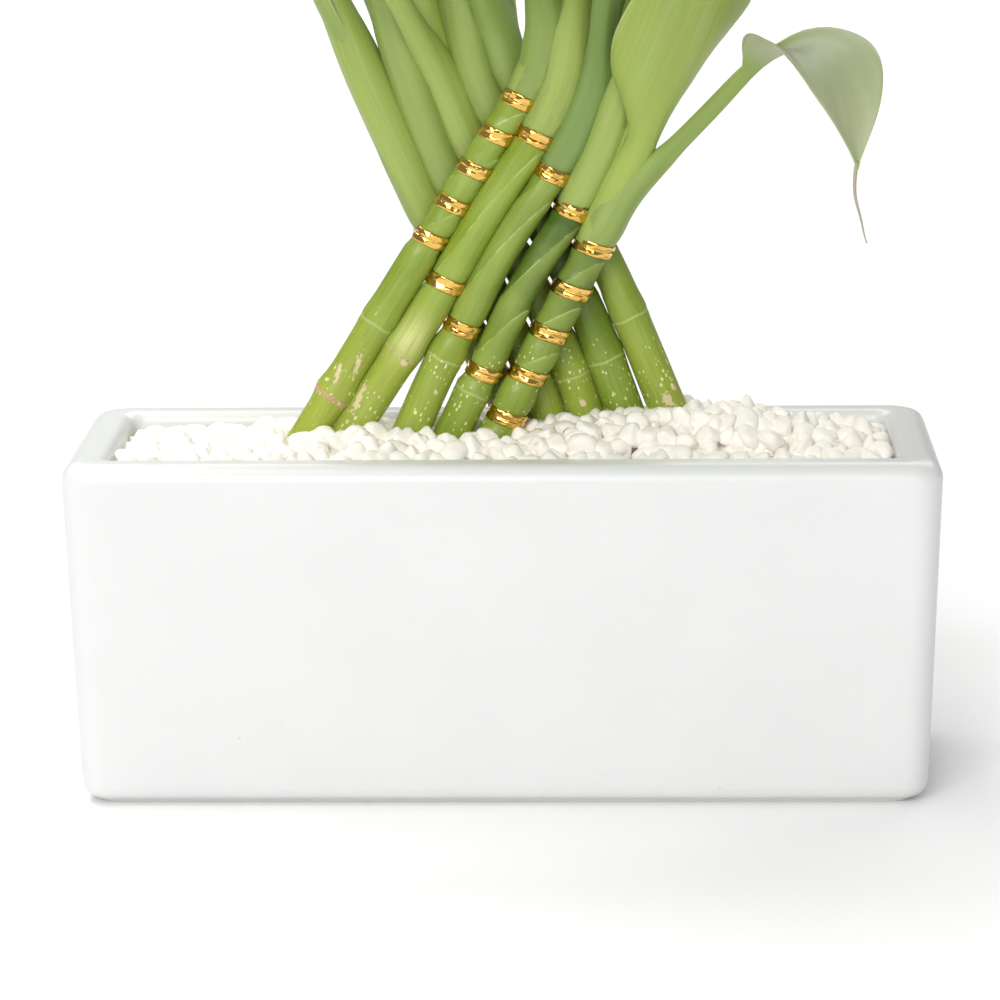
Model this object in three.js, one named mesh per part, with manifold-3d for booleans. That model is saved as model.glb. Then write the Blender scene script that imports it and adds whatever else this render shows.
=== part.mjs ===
// Lucky bamboo in a rectangular ceramic planter.
// Ten canes stand in white gravel and cross in a flat lattice: five lean right, before five that lean left.
// A gold tie wraps the two canes at each crossing round the lattice's edge, and leaves spread above it.
// Millimetres, +Z up, +X right, -Y front. The origin is the middle of the pot's flat underside.

import * as THREE from 'three';
import { mergeVertices } from 'three/addons/utils/BufferGeometryUtils.js';
import Module from 'manifold-3d';

const wasm = await Module();
wasm.setup();

// Pot
const POT_LENGTH = 236;
const POT_DEPTH = 82;
const POT_HEIGHT = 95;
const POT_WALL = 12;
const POT_FLOOR = 8;
const POT_DRAFT = 2.8;
const CORNER_RADIUS = 8;
const RIM_RADIUS = 5;
const LIP_RADIUS = 3;
const BASE_RADIUS = 5;
const FOOT_INSET = 4;
const FOOT_HEIGHT = 1.2;
const CORNER_TIGHTENING = 0.35;
const CORNER_RADIUS_LEAST = 3;
const BASE_UNDERCUT = 0.7;
const CORNER_STEPS = 4;
const EDGE_STEPS = 4;

// Gravel: a bed with larger stones than life on it, low on the left and heaped on the right
const BED_GAP = 0.3;
const BED_LEVEL_LEFT = 85.5;
const BED_LEVEL_RIGHT = 89.5;
const MOUND_HEIGHT = 7;
const MOUND_X = 63;
const MOUND_Y = 4;
const MOUND_SPREAD = 30;
const LEVEL_RISE = 1.6;
const BED_SECTIONS = 16;
const STONE_PITCH = 13.4;
const STONE_RADIUS = 7.8;
const STONE_SIZES = [0.85, 1.1];
const STONE_PROUD = [0.05, 0.4];
const STONE_SCATTER = 0.5;
const STONE_STAGGER = 0.25;
const STONE_STRETCH = [[0.85, 1.15], [0.85, 1.1], [0.75, 0.95]];
const STONE_DENTS = [0.88, 1.08];
const STONE_SEED = 41;

// Canes: the front layer leans right, the back layer leans left
const LAYER = 5.2;
const CANES = 5;
const CANE_SIDES = 10;
const CANE_FOOT_Z = 36;
const CANE_BASE_Z = 92;
const FRONT_BASE_X = [-58, -45.3, -27.2, -15.4, -3.4];
const BACK_BASE_X = [3.4, 14.2, 25.1, 36.3, 48.8];
const RADIUS_BASE = 5;
const RADIUS_LOW = 4.35;
const RADIUS_HIGH = 4.05;
const RADIUS_TOP = 2.2;
const HOLE_GAP = 0.3;
const LONG_LOWER_RUN = 20;
const FRONT_NODES_Z = [[107.1, 127.1], [119.2], [117.7], [107], []];
const BACK_NODES_Z = [[], [], [110.6], [115.3], [126.9]];
const NODE_RISE = 0.35;
const NODE_HALF_HEIGHT = 1.5;
const SHOOT_STATIONS = [0.3, 0.65];

// Lattice corners, as [x, z]: first and last front cane against first and last back cane
const CORNER_11 = [-19, 151.1];
const CORNER_15 = [5.1, 188.4];
const CORNER_51 = [1, 101.7];
const CORNER_55 = [24.9, 148.4];
const STRAIGHT_PAST_TIE = 4;
// How far the first and the last back cane curve sideways half way along the lattice, as the front canes there do
const LATTICE_BOWS = [-1.9, -1];
const BOW_SCALE = 16;
const BOW_STATIONS = 8;

// Where each shoot ends, as [x, y, z, sideways slope]
const FRONT_TOPS = [
  [11.7, -6, 231, 0.12],
  [21.8, -9, 227, 0.2],
  [32.9, -6, 233, 0.25],
  [42, -9, 229, 0.3],
  [52.2, -5, 230, 0.45],
];
const BACK_TOPS = [
  [-51.7, 9, 227, -0.45],
  [-37.6, 5, 233, -0.4],
  [-26.4, 9, 229, -0.3],
  [-14.4, 5, 235, -0.2],
  [-3.2, 9, 231, -0.1],
];

// Ties: bands of foil, drawn in at the waist between the two layers
const TIE_WIDTH = 4;
const TIE_THICKNESS = 0.3;
const TIE_GAP = 0.2;
const TIE_TILT = 7;
const TIE_WAIST = 0.14;
const TIE_WAIST_WIDTH = 2.4;
const TIE_ARC_STEPS = CANE_SIDES / 2;

// Leaves
const LEAF_STATIONS = 7;
const LEAF_SUBSTEPS = 6;
const PETIOLE_HALF = 3.4;
const PETIOLE_THICK = 1.7;
const BLADE_THICK = 0.7;
const FOLD_PETIOLE = 55;
const FOLD_BLADE = 14;
const BLADE_SKEW = 0.8;
const BLADE_POINT = 1.1;
const PETIOLE_TAPER = 0.3;
const LEAF_END_HALF = 0.5;
const OPEN_FROM = 0.7;
const OPEN_OVER = 0.35;
const LEAF_ROOT = 0.55;
const PLAIN_LEAF = { bendFrom: 0.1, follow: 0.22, neck: 0.3, turn: 0 };

// The crown's rule, in pairs of a first value and what each step adds: a step of the fans is one shoot to the
// right, and a step of the levels is one leaf up the shoot. A shoot's last level is its tip
const FORWARD_FAN = [-74, 12];
const BACKWARD_FAN = [-63, 14];
const LAST_SHOOT_TURN = 30;
const FAN_SHARES = [0.6, 0.95, 0.89, 1.08];
const LEVELS_Z = [193.7, 14.8];
const LEANS = [42, -8];
const FALLS = [110, -21];
const LENGTHS = [122, 4];
const LENGTH_VARIES = 9;
const WIDTHS = [20, 2];
const LOWEST_ABOVE_TIE = 3;
const LOWEST_LONGER = 15;
const LOWEST_BEND_FROM = 0.25;
const LOWEST_SPAN_Z = [194.6, 154];
const LOWEST_NECKS = [0.3, 0.4];
const LOWEST_FOLLOWS = [0.08, 0.35];
const TIP_BELOW_TOP = 3;
const TIP_SHORTER = 12;
const TIP_LEAF = { width: 19, lean: 5, fall: 32, follow: 0.77 };

// Three leaves that start low: the last front shoot's broad one and drooping one, and the far left one
const BROAD_LEAF = {
  z: 152.2, azimuth: -60, length: 170, width: 38.5,
  lean: 35, fall: 66, bendFrom: 0.7, follow: 0.18, neck: 0.05,
};
const DROOPING_LEAF = {
  z: 152.2, azimuth: -17, length: 124.6, width: 31.4,
  lean: 45, fall: 167, bendFrom: 0.41, follow: 0.1, neck: 0.43, turn: -51,
};
const FAR_LEFT_LEAF = {
  z: 155.2, azimuth: 176, length: 170, width: 24.3,
  lean: 25, fall: 84, bendFrom: 0.3, follow: 0.1, neck: 0.34,
};

// Finishes
const WHITE_GLAZE = { color: '#f1f2f1', roughness: 0.18, metalness: 0 };
const WHITE_MARBLE = { color: '#f4f2ec', roughness: 0.6, metalness: 0 };
const FRONT_GREEN = { color: '#7ba344', roughness: 0.45, metalness: 0 };
const BACK_GREEN = { color: '#6f9a3d', roughness: 0.45, metalness: 0 };
const GOLD_FOIL = { color: '#d9a13b', roughness: 0.2, metalness: 1 };

const RAD = Math.PI / 180;
const UP = new THREE.Vector3(0, 0, 1);

// Small tools

function smooth(t) {
  const u = Math.min(1, Math.max(0, t));
  return u * u * (3 - 2 * u);
}

function mix(a, b, t) {
  return a + (b - a) * t;
}

// A seeded draw between 0 and 1
function drawer(seed) {
  let state = seed >>> 0;
  return () => {
    state = (Math.imul(state, 1664525) + 1013904223) >>> 0;
    return state / 4294967296;
  };
}

function solidFrom(points, triangles) {
  const vertProperties = new Float32Array(points.flatMap((p) => [p.x, p.y, p.z]));
  const triVerts = new Uint32Array(triangles.flat());
  const solid = new wasm.Manifold(new wasm.Mesh({ numProp: 3, vertProperties, triVerts }));
  if (solid.volume() > 0) return solid;
  return solidFrom(points, triangles.map(([a, b, c]) => [a, c, b]));
}

// A closed solid through rings of equal, even count, each end closed by strips across its ring
function loft(rings) {
  const n = rings[0].length;
  const points = rings.flat();
  const triangles = [];
  for (let k = 0; k + 1 < rings.length; k++) {
    for (let i = 0; i < n; i++) {
      const a = k * n + i;
      const b = k * n + ((i + 1) % n);
      triangles.push([a, b, b + n], [a, b + n, a + n]);
    }
  }
  const last = (rings.length - 1) * n;
  for (let i = 0; i < n / 2 - 1; i++) {
    const j = n - 1 - i;
    triangles.push([i, j, i + 1], [i + 1, j, j - 1]);
    triangles.push([last + i, last + i + 1, last + j], [last + i + 1, last + j - 1, last + j]);
  }
  return solidFrom(points, triangles);
}

// A solid that closes on itself, such as a band, through rings of equal count
function loop(rings) {
  const n = rings[0].length;
  const total = rings.length * n;
  const triangles = [];
  rings.forEach((ring, k) => {
    for (let i = 0; i < n; i++) {
      const a = k * n + i;
      const b = k * n + ((i + 1) % n);
      triangles.push([a, b, (b + n) % total], [a, (b + n) % total, (a + n) % total]);
    }
  });
  return solidFrom(rings.flat(), triangles);
}

// One body from several: a hollow that fusing seals is filled, and a loose scrap is dropped
function join(solids) {
  const bodies = solids.reduce((whole, solid) => whole.add(solid)).decompose();
  return bodies.reduce((largest, body) => (body.volume() > largest.volume() ? body : largest));
}

const group = new THREE.Group();

function addPart(parent, name, solid, finish) {
  const { vertProperties, triVerts } = solid.getMesh();
  const geometry = new THREE.BufferGeometry();
  geometry.setAttribute('position', new THREE.BufferAttribute(new Float32Array(vertProperties), 3));
  geometry.setIndex(new THREE.BufferAttribute(new Uint32Array(triVerts), 1));
  const mesh = new THREE.Mesh(geometry, new THREE.MeshStandardMaterial(finish));
  mesh.name = name;
  parent.add(mesh);
}

// Pot

// How far the outer wall stands in from the rim's outline at height z
function draftAt(z) {
  return POT_DRAFT * (1 - z / POT_HEIGHT);
}

// A rounded rectangle at height z, set in from the rim's sharp outline
function potRing(inset, z) {
  const halfX = POT_LENGTH / 2 - inset;
  const halfY = POT_DEPTH / 2 - inset;
  const radius = Math.max(CORNER_RADIUS - inset * CORNER_TIGHTENING, CORNER_RADIUS_LEAST);
  const ring = [];
  for (let corner = 0; corner < 4; corner++) {
    const signX = corner === 0 || corner === 3 ? 1 : -1;
    const signY = corner < 2 ? 1 : -1;
    for (let step = 0; step <= CORNER_STEPS; step++) {
      const angle = (corner + step / CORNER_STEPS) * 90 * RAD;
      ring.push(new THREE.Vector3(
        signX * (halfX - radius) + radius * Math.cos(angle),
        signY * (halfY - radius) + radius * Math.sin(angle),
        z,
      ));
    }
  }
  return ring;
}

function potSolid() {
  const rings = [];
  rings.push(potRing(FOOT_INSET + POT_DRAFT, 0));
  rings.push(potRing(FOOT_INSET + POT_DRAFT, FOOT_HEIGHT));
  for (let k = 0; k <= EDGE_STEPS; k++) {
    const angle = (k / EDGE_STEPS) * 90 * RAD;
    const z = FOOT_HEIGHT + BASE_RADIUS * (1 - Math.cos(angle));
    rings.push(potRing(draftAt(z) + BASE_RADIUS * (1 - Math.sin(angle)) * BASE_UNDERCUT, z));
  }
  for (let k = 0; k <= EDGE_STEPS; k++) {
    const angle = (k / EDGE_STEPS) * 90 * RAD;
    const z = POT_HEIGHT - RIM_RADIUS * (1 - Math.sin(angle));
    rings.push(potRing(draftAt(z) + RIM_RADIUS * (1 - Math.cos(angle)), z));
  }
  for (let k = 0; k <= EDGE_STEPS; k++) {
    const angle = (k / EDGE_STEPS) * 90 * RAD;
    const z = POT_HEIGHT - LIP_RADIUS * (1 - Math.cos(angle));
    rings.push(potRing(POT_WALL - LIP_RADIUS * (1 - Math.sin(angle)), z));
  }
  rings.push(potRing(POT_WALL + draftAt(POT_FLOOR), POT_FLOOR));
  return loft(rings);
}

// Canes

// Back cane j's sideways curve at a share of the way between its end ties, level at both ends
function bowAt(share, j) {
  const u = Math.min(1, Math.max(0, share));
  return mix(...LATTICE_BOWS, j / (CANES - 1)) * BOW_SCALE * u * u * (1 - u) * (1 - u);
}

// The crossing of front cane i and back cane j, both counted from 0
function crossing(i, j) {
  const u = i / (CANES - 1);
  const v = j / (CANES - 1);
  const [x, z] = [0, 1].map((axis) => mix(
    mix(CORNER_11[axis], CORNER_15[axis], v),
    mix(CORNER_51[axis], CORNER_55[axis], v),
    u,
  ));
  return [x + bowAt(u, j), z];
}

// One cane's named sizes: its base, the straight run between its two end ties, and the top of its shoot
function caneOf(isFront, index) {
  const low = isFront ? crossing(index, 0) : crossing(CANES - 1, index);
  const high = isFront ? crossing(index, CANES - 1) : crossing(0, index);
  const slope = (high[0] - low[0]) / (high[1] - low[1]);
  const lowZ = low[1] - STRAIGHT_PAST_TIE;
  const highZ = high[1] + STRAIGHT_PAST_TIE;
  const bow = (z) => (isFront ? 0 : bowAt((z - low[1]) / (high[1] - low[1]), index));
  const lineX = (z) => low[0] + slope * (z - low[1]) + bow(z);
  const baseX = (isFront ? FRONT_BASE_X : BACK_BASE_X)[index];
  const [topX, topY, topZ, topSlope] = (isFront ? FRONT_TOPS : BACK_TOPS)[index];
  const nodes = (isFront ? FRONT_NODES_Z : BACK_NODES_Z)[index];
  const layerY = isFront ? -LAYER : LAYER;
  return { isFront, index, slope, lowZ, highZ, lineX, baseX, topX, topY, topZ, topSlope, nodes, layerY };
}

// A smooth step from value a with slope m to value b with slope n, over a run
function bend(a, m, b, n, run, u) {
  const uu = u * u;
  const uuu = uu * u;
  const places = (2 * uuu - 3 * uu + 1) * a + (3 * uu - 2 * uuu) * b;
  const slopes = (uuu - 2 * uu + u) * m + (uuu - uu) * n;
  return places + slopes * run;
}

// A point of a cane's centre line at height z
function axisAt(cane, z) {
  const baseRun = cane.lowZ - CANE_BASE_Z;
  const baseSlope = (cane.lineX(cane.lowZ) - cane.baseX) / baseRun;
  if (z < CANE_BASE_Z) return new THREE.Vector3(cane.baseX + baseSlope * (z - CANE_BASE_Z), cane.layerY, z);
  if (z < cane.lowZ) {
    const u = (z - CANE_BASE_Z) / baseRun;
    const x = bend(cane.baseX, baseSlope, cane.lineX(cane.lowZ), cane.slope, baseRun, u);
    return new THREE.Vector3(x, cane.layerY, z);
  }
  if (z < cane.highZ) return new THREE.Vector3(cane.lineX(z), cane.layerY, z);
  const run = cane.topZ - cane.highZ;
  const u = (z - cane.highZ) / run;
  const x = bend(cane.lineX(cane.highZ), cane.slope, cane.topX, cane.topSlope, run, u);
  const y = bend(cane.layerY, 0, cane.topY, 0, run, u);
  return new THREE.Vector3(x, y, z);
}

function tangentAt(cane, z) {
  return axisAt(cane, z + 0.5).sub(axisAt(cane, z - 0.5)).normalize();
}

function radiusAt(cane, z) {
  if (z < cane.lowZ) {
    return mix(RADIUS_BASE, RADIUS_LOW, smooth((z - CANE_BASE_Z) / (cane.lowZ - CANE_BASE_Z)));
  }
  if (z < cane.highZ) return mix(RADIUS_LOW, RADIUS_HIGH, (z - cane.lowZ) / (cane.highZ - cane.lowZ));
  return mix(RADIUS_HIGH, RADIUS_TOP, (z - cane.highZ) / (cane.topZ - cane.highZ));
}

// A ring round a cane's centre line, with its first corner on the side that faces right
function caneRing(cane, z, radius) {
  const centre = axisAt(cane, z);
  const along = tangentAt(cane, z);
  const right = new THREE.Vector3().crossVectors(new THREE.Vector3(0, 1, 0), along).normalize();
  const back = new THREE.Vector3().crossVectors(along, right);
  const ring = [];
  for (let k = 0; k < CANE_SIDES; k++) {
    const angle = (k / CANE_SIDES) * 360 * RAD;
    ring.push(centre.clone()
      .addScaledVector(right, radius * Math.cos(angle))
      .addScaledVector(back, radius * Math.sin(angle)));
  }
  return ring;
}

function caneSolid(cane) {
  const heights = [CANE_FOOT_Z, CANE_BASE_Z, cane.lowZ, cane.highZ, cane.topZ];
  if (cane.lowZ > CANE_BASE_Z + LONG_LOWER_RUN) heights.push(mix(CANE_BASE_Z, cane.lowZ, 0.5));
  for (const share of SHOOT_STATIONS) heights.push(mix(cane.highZ, cane.topZ, share));
  for (let k = 1; !cane.isFront && k < BOW_STATIONS; k++) {
    heights.push(mix(cane.lowZ, cane.highZ, k / BOW_STATIONS));
  }
  const stations = heights.map((z) => ({ z, rise: 0 }));
  for (const z of cane.nodes) {
    stations.push({ z: z - NODE_HALF_HEIGHT, rise: 0 });
    stations.push({ z, rise: NODE_RISE });
    stations.push({ z: z + NODE_HALF_HEIGHT, rise: 0 });
  }
  stations.sort((a, b) => a.z - b.z);
  return loft(stations.map(({ z, rise }) => caneRing(cane, z, radiusAt(cane, z) + rise)));
}

// Leaves

function bladeHalfWidth(width, neck, t) {
  const s = Math.max(0, (t - neck) / (1 - neck));
  const blade = (width / 2) * Math.pow(Math.sin(Math.PI * Math.pow(s, BLADE_SKEW)), BLADE_POINT);
  const petiole = PETIOLE_HALF * (1 - PETIOLE_TAPER * smooth(t / neck)) * (1 - s);
  return Math.max(Math.hypot(Math.max(blade, 0), petiole), LEAF_END_HALF);
}

// A leaf from start, first along heading and then bending out: a channelled petiole, then an arched blade
// lean and fall are its angles from upright at first and at its tip, bendFrom is where it starts to bend,
// follow is how far it keeps to the shoot's heading, neck is where the blade starts, turn swings it sideways
function leafSolid(leaf) {
  const { start, heading, azimuth, length, width, lean, fall, bendFrom, follow, neck, turn } = leaf;
  const point = start.clone();
  const rings = [];
  const steps = LEAF_STATIONS * LEAF_SUBSTEPS;
  for (let step = 0; step <= steps; step++) {
    const t = step / steps;
    const angle = mix(lean, fall, smooth((t - bendFrom) / (1 - bendFrom))) * RAD;
    const compass = (azimuth + turn * smooth(t)) * RAD;
    const out = new THREE.Vector3(Math.cos(compass), Math.sin(compass), 0);
    const share = 1 - smooth(t / follow);
    const along = out.clone().multiplyScalar(Math.sin(angle)).addScaledVector(UP, Math.cos(angle));
    along.multiplyScalar(1 - share).addScaledVector(heading, share).normalize();
    const side = new THREE.Vector3().crossVectors(UP, out);
    side.addScaledVector(along, -side.dot(along)).normalize();
    const face = new THREE.Vector3().crossVectors(along, side);
    if (step % LEAF_SUBSTEPS === 0) {
      const half = bladeHalfWidth(width, neck, t);
      const open = smooth((t - neck * OPEN_FROM) / OPEN_OVER);
      const fold = mix(FOLD_PETIOLE, FOLD_BLADE, open) * RAD;
      const thick = mix(PETIOLE_THICK, BLADE_THICK, open);
      const corner = (across, down) => point.clone()
        .addScaledVector(side, across * half * Math.cos(fold))
        .addScaledVector(face, Math.abs(across) * half * Math.sin(fold) - down);
      rings.push([
        corner(-1, 0), corner(0, 0), corner(1, 0),
        corner(1, thick), corner(0, thick), corner(-1, thick),
      ]);
    }
    point.addScaledVector(along, length / steps);
  }
  return loft(rings);
}

// A leaf that leaves the shoot at height z towards a compass direction, sheathing its far side
function leafOn(cane, leaf) {
  const heading = tangentAt(cane, leaf.z);
  const out = new THREE.Vector3(Math.cos(leaf.azimuth * RAD), Math.sin(leaf.azimuth * RAD), 0);
  const start = axisAt(cane, leaf.z).addScaledVector(out, radiusAt(cane, leaf.z) * LEAF_ROOT);
  return leafSolid({ ...PLAIN_LEAF, start, heading, ...leaf });
}

// A value of the crown's rule at step k: its start, and what each step adds
function ruled([first, step], k) {
  return first + step * k;
}

// Leaves go forwards and backwards in turn, fanned from far left to far right over the ten shoots
function crownLeaves(cane) {
  const place = cane.isFront ? CANES + cane.index : cane.index;
  const isFirst = place === 0;
  const isLast = place === 2 * CANES - 1;
  const leaves = [];
  if (isFirst) leaves.push(FAR_LEFT_LEAF);
  if (isLast) leaves.push(BROAD_LEAF, DROOPING_LEAF);
  for (let n = isFirst || isLast ? 1 : 0; n < FAN_SHARES.length; n++) {
    const forwards = (n + cane.index) % 2 === 0;
    const turned = forwards && isLast ? LAST_SHOOT_TURN : 0;
    const fan = FAN_SHARES[n] * (ruled(forwards ? FORWARD_FAN : BACKWARD_FAN, place) + turned);
    const azimuth = forwards ? -90 + fan : 90 - fan;
    const length = ruled(LENGTHS, n) + LENGTH_VARIES * ((place * 3 + n * 2) % 4);
    const width = ruled(WIDTHS, (place + n) % 3);
    const z = ruled(LEVELS_Z, n);
    const leaf = { z, azimuth, length, width, lean: ruled(LEANS, n), fall: ruled(FALLS, n) };
    if (n === 0) {
      leaf.z = cane.highZ + LOWEST_ABOVE_TIE;
      leaf.length = length + LOWEST_LONGER;
      leaf.bendFrom = LOWEST_BEND_FROM;
      const depth = (LOWEST_SPAN_Z[0] - leaf.z) / (LOWEST_SPAN_Z[0] - LOWEST_SPAN_Z[1]);
      leaf.neck = mix(...LOWEST_NECKS, depth);
      leaf.follow = mix(...LOWEST_FOLLOWS, depth);
    }
    if (n === FAN_SHARES.length - 1) {
      Object.assign(leaf, TIP_LEAF, { z: cane.topZ - TIP_BELOW_TOP, length: length - TIP_SHORTER });
    }
    leaves.push(leaf);
  }
  return leaves.map((leaf) => leafOn(cane, leaf));
}

function stalkSolid(cane) {
  return join([caneSolid(cane), ...crownLeaves(cane)]);
}

// Ties

function tieSolid(front, back) {
  const [x, z] = crossing(front.index, back.index);
  const middle = new THREE.Vector3(x, 0, z);
  // One cross-section of the band: foot is on its inner face
  const section = ({ foot, along, radial, width }) => [[-1, 0], [-1, 1], [1, 1], [1, 0]].map(
    ([across, height]) => foot.clone()
      .addScaledVector(along, (across * width) / 2)
      .addScaledVector(radial, height * TIE_THICKNESS),
  );
  const arcs = [front, back].map((cane) => {
    const along = tangentAt(cane, z);
    const right = new THREE.Vector3(along.z, 0, -along.x);
    const outwards = new THREE.Vector3(0, cane.isFront ? -1 : 1, 0);
    const turn = cane.isFront ? 1 : -1;
    const tilt = Math.tan(turn * TIE_TILT * RAD);
    const inner = radiusAt(cane, z) + TIE_GAP;
    const arc = [];
    for (let k = 0; k <= TIE_ARC_STEPS; k++) {
      const angle = (k / TIE_ARC_STEPS) * 180 * RAD;
      const sideways = Math.cos(angle) * turn;
      const radial = right.clone().multiplyScalar(sideways).addScaledVector(outwards, Math.sin(angle));
      const foot = new THREE.Vector3(x, cane.layerY, z)
        .addScaledVector(radial, inner)
        .addScaledVector(along, inner * sideways * tilt);
      arc.push({ foot, along, radial, width: TIE_WIDTH });
    }
    return arc;
  });
  const waist = (one, other) => {
    const foot = one.foot.clone().add(other.foot).multiplyScalar(0.5).lerp(middle, TIE_WAIST);
    const along = one.along.clone().add(other.along).normalize();
    const radial = one.radial.clone().add(other.radial).normalize();
    return { foot, along, radial, width: TIE_WAIST_WIDTH };
  };
  const [frontArc, backArc] = arcs;
  const stops = [
    ...frontArc, waist(frontArc.at(-1), backArc[0]),
    ...backArc, waist(backArc.at(-1), frontArc[0]),
  ];
  return loop(stops.map(section));
}

// Gravel

function bedLevel(x, y) {
  const along = (x + POT_LENGTH / 2) / POT_LENGTH;
  const mound = Math.exp(-(((x - MOUND_X) / MOUND_SPREAD) ** 2) - ((y - MOUND_Y) / MOUND_SPREAD) ** 2);
  return mix(BED_LEVEL_LEFT, BED_LEVEL_RIGHT, smooth(along * LEVEL_RISE)) + MOUND_HEIGHT * mound;
}

// One chip: an icosahedron with its corners pushed in and out
function stoneSolid(centre, radius, draw) {
  const ball = new THREE.IcosahedronGeometry(radius, 0);
  ball.deleteAttribute('normal');
  ball.deleteAttribute('uv');
  const merged = mergeVertices(ball, 1e-4);
  const turn = new THREE.Euler(draw() * 360 * RAD, draw() * 360 * RAD, draw() * 360 * RAD);
  const stretch = new THREE.Vector3(...STONE_STRETCH.map(([least, most]) => mix(least, most, draw())));
  const points = [];
  for (let k = 0; k < merged.attributes.position.count; k++) {
    const corner = new THREE.Vector3().fromBufferAttribute(merged.attributes.position, k);
    corner.applyEuler(turn).multiply(stretch).multiplyScalar(mix(...STONE_DENTS, draw()));
    points.push(corner.add(centre));
  }
  const triangles = [];
  for (let k = 0; k < merged.index.count; k += 3) {
    triangles.push([merged.index.getX(k), merged.index.getX(k + 1), merged.index.getX(k + 2)]);
  }
  return solidFrom(points, triangles);
}

// What the inside of the pot leaves for the gravel, open to any height above it
function cavitySolid() {
  const low = POT_WALL + draftAt(POT_FLOOR) + BED_GAP;
  const lip = POT_WALL + BED_GAP;
  return loft([
    potRing(low, POT_FLOOR + BED_GAP),
    potRing(lip, POT_HEIGHT - LIP_RADIUS),
    potRing(lip, POT_HEIGHT * 2),
  ]);
}

// The bed under the chips: cross-sections along X, each as high as the gravel there
function bedSolid() {
  const halfX = POT_LENGTH / 2 - POT_WALL;
  const halfY = POT_DEPTH / 2 - POT_WALL;
  const shares = [-1, -0.5, 0, 0.5, 1];
  const rings = [];
  for (let k = 0; k <= BED_SECTIONS; k++) {
    const x = mix(-halfX, halfX, k / BED_SECTIONS);
    const top = shares.map((share) => new THREE.Vector3(x, share * halfY, bedLevel(x, share * halfY)));
    const low = shares.map((share) => new THREE.Vector3(x, -share * halfY, POT_FLOOR));
    rings.push([...top, ...low]);
  }
  return loft(rings);
}

function gravelSolid(canes) {
  const draw = drawer(STONE_SEED);
  const halfX = POT_LENGTH / 2 - POT_WALL - BED_GAP - STONE_RADIUS;
  const halfY = POT_DEPTH / 2 - POT_WALL - BED_GAP - STONE_RADIUS;
  const columns = Math.round((2 * halfX) / STONE_PITCH);
  const rows = Math.round((2 * halfY) / STONE_PITCH);
  const stones = [];
  for (let column = 0; column <= columns; column++) {
    for (let row = 0; row <= rows; row++) {
      const shift = row % 2 === 0 ? -STONE_STAGGER : STONE_STAGGER;
      const shareX = (column + shift + STONE_SCATTER * (draw() - 0.5)) / columns;
      const shareY = (row + STONE_SCATTER * (draw() - 0.5)) / rows;
      const x = mix(-halfX, halfX, Math.min(1, Math.max(0, shareX)));
      const y = mix(-halfY, halfY, Math.min(1, Math.max(0, shareY)));
      const radius = STONE_RADIUS * mix(...STONE_SIZES, draw());
      const level = bedLevel(x, y) + radius * mix(...STONE_PROUD, draw());
      stones.push(stoneSolid(new THREE.Vector3(x, y, level), radius, draw));
    }
  }
  const whole = join([bedSolid(), ...stones]).intersect(cavitySolid());
  const holes = canes.map((cane) => {
    const widen = (z) => (radiusAt(cane, z) + HOLE_GAP) / Math.cos((180 / CANE_SIDES) * RAD);
    const stops = [CANE_FOOT_Z - 1, CANE_BASE_Z, CANE_BASE_Z + 8, CANE_BASE_Z + 20];
    return loft(stops.map((z) => caneRing(cane, z, widen(z))));
  });
  return join([holes.reduce((bed, hole) => bed.subtract(hole), whole)]);
}

const frontCanes = [];
const backCanes = [];
for (let index = 0; index < CANES; index++) {
  frontCanes.push(caneOf(true, index));
  backCanes.push(caneOf(false, index));
}

const plant = new THREE.Group();
const ties = new THREE.Group();
group.add(plant, ties);

addPart(group, 'pot', potSolid(), WHITE_GLAZE);
addPart(group, 'gravel', gravelSolid([...frontCanes, ...backCanes]), WHITE_MARBLE);
for (const cane of frontCanes) addPart(plant, `front_stalk_${cane.index + 1}`, stalkSolid(cane), FRONT_GREEN);
for (const cane of backCanes) addPart(plant, `back_stalk_${cane.index + 1}`, stalkSolid(cane), BACK_GREEN);

// Ties go round the lattice's edge only: its inner crossings have none
const isOuter = (cane) => cane.index === 0 || cane.index === CANES - 1;
for (const front of frontCanes) {
  for (const back of backCanes) {
    if (!isOuter(front) && !isOuter(back)) continue;
    addPart(ties, `tie_${front.index + 1}_${back.index + 1}`, tieSolid(front, back), GOLD_FOIL);
  }
}

export default group;
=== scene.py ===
"""Lucky bamboo, tied with gold foil into a lattice, in a white glazed planter filled with marble chips.

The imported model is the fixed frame. Each piece stands for one of its solids and keeps its place and form.
Sizes in the mesh code are millimetres, and objects are in metres.
"""

from functools import partial

import bmesh
import bpy
import numpy as np
from bpy.props import FloatProperty, FloatVectorProperty, IntProperty, PointerProperty
from mathutils import Matrix, Vector


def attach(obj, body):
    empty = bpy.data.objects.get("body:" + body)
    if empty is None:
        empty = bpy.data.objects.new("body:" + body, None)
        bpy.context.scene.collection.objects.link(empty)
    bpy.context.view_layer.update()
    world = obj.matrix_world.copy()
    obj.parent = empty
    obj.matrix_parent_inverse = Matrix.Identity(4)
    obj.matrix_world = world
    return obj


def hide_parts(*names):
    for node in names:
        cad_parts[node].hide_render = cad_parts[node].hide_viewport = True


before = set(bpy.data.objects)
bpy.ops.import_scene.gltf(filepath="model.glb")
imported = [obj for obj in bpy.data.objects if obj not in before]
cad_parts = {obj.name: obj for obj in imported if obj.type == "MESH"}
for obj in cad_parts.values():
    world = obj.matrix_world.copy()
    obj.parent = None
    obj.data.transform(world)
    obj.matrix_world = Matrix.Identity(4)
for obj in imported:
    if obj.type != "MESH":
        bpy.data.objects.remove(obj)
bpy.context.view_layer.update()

bl_info = {
    "name": "Lucky Bamboo Planter",
    "version": (1, 0, 0),
    "blender": (4, 5, 0),
    "location": "3D View > Sidebar > Bamboo",
    "description": "Builds a tied lucky bamboo in a glazed planter of marble chips",
    "category": "Add Mesh",
}

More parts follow.
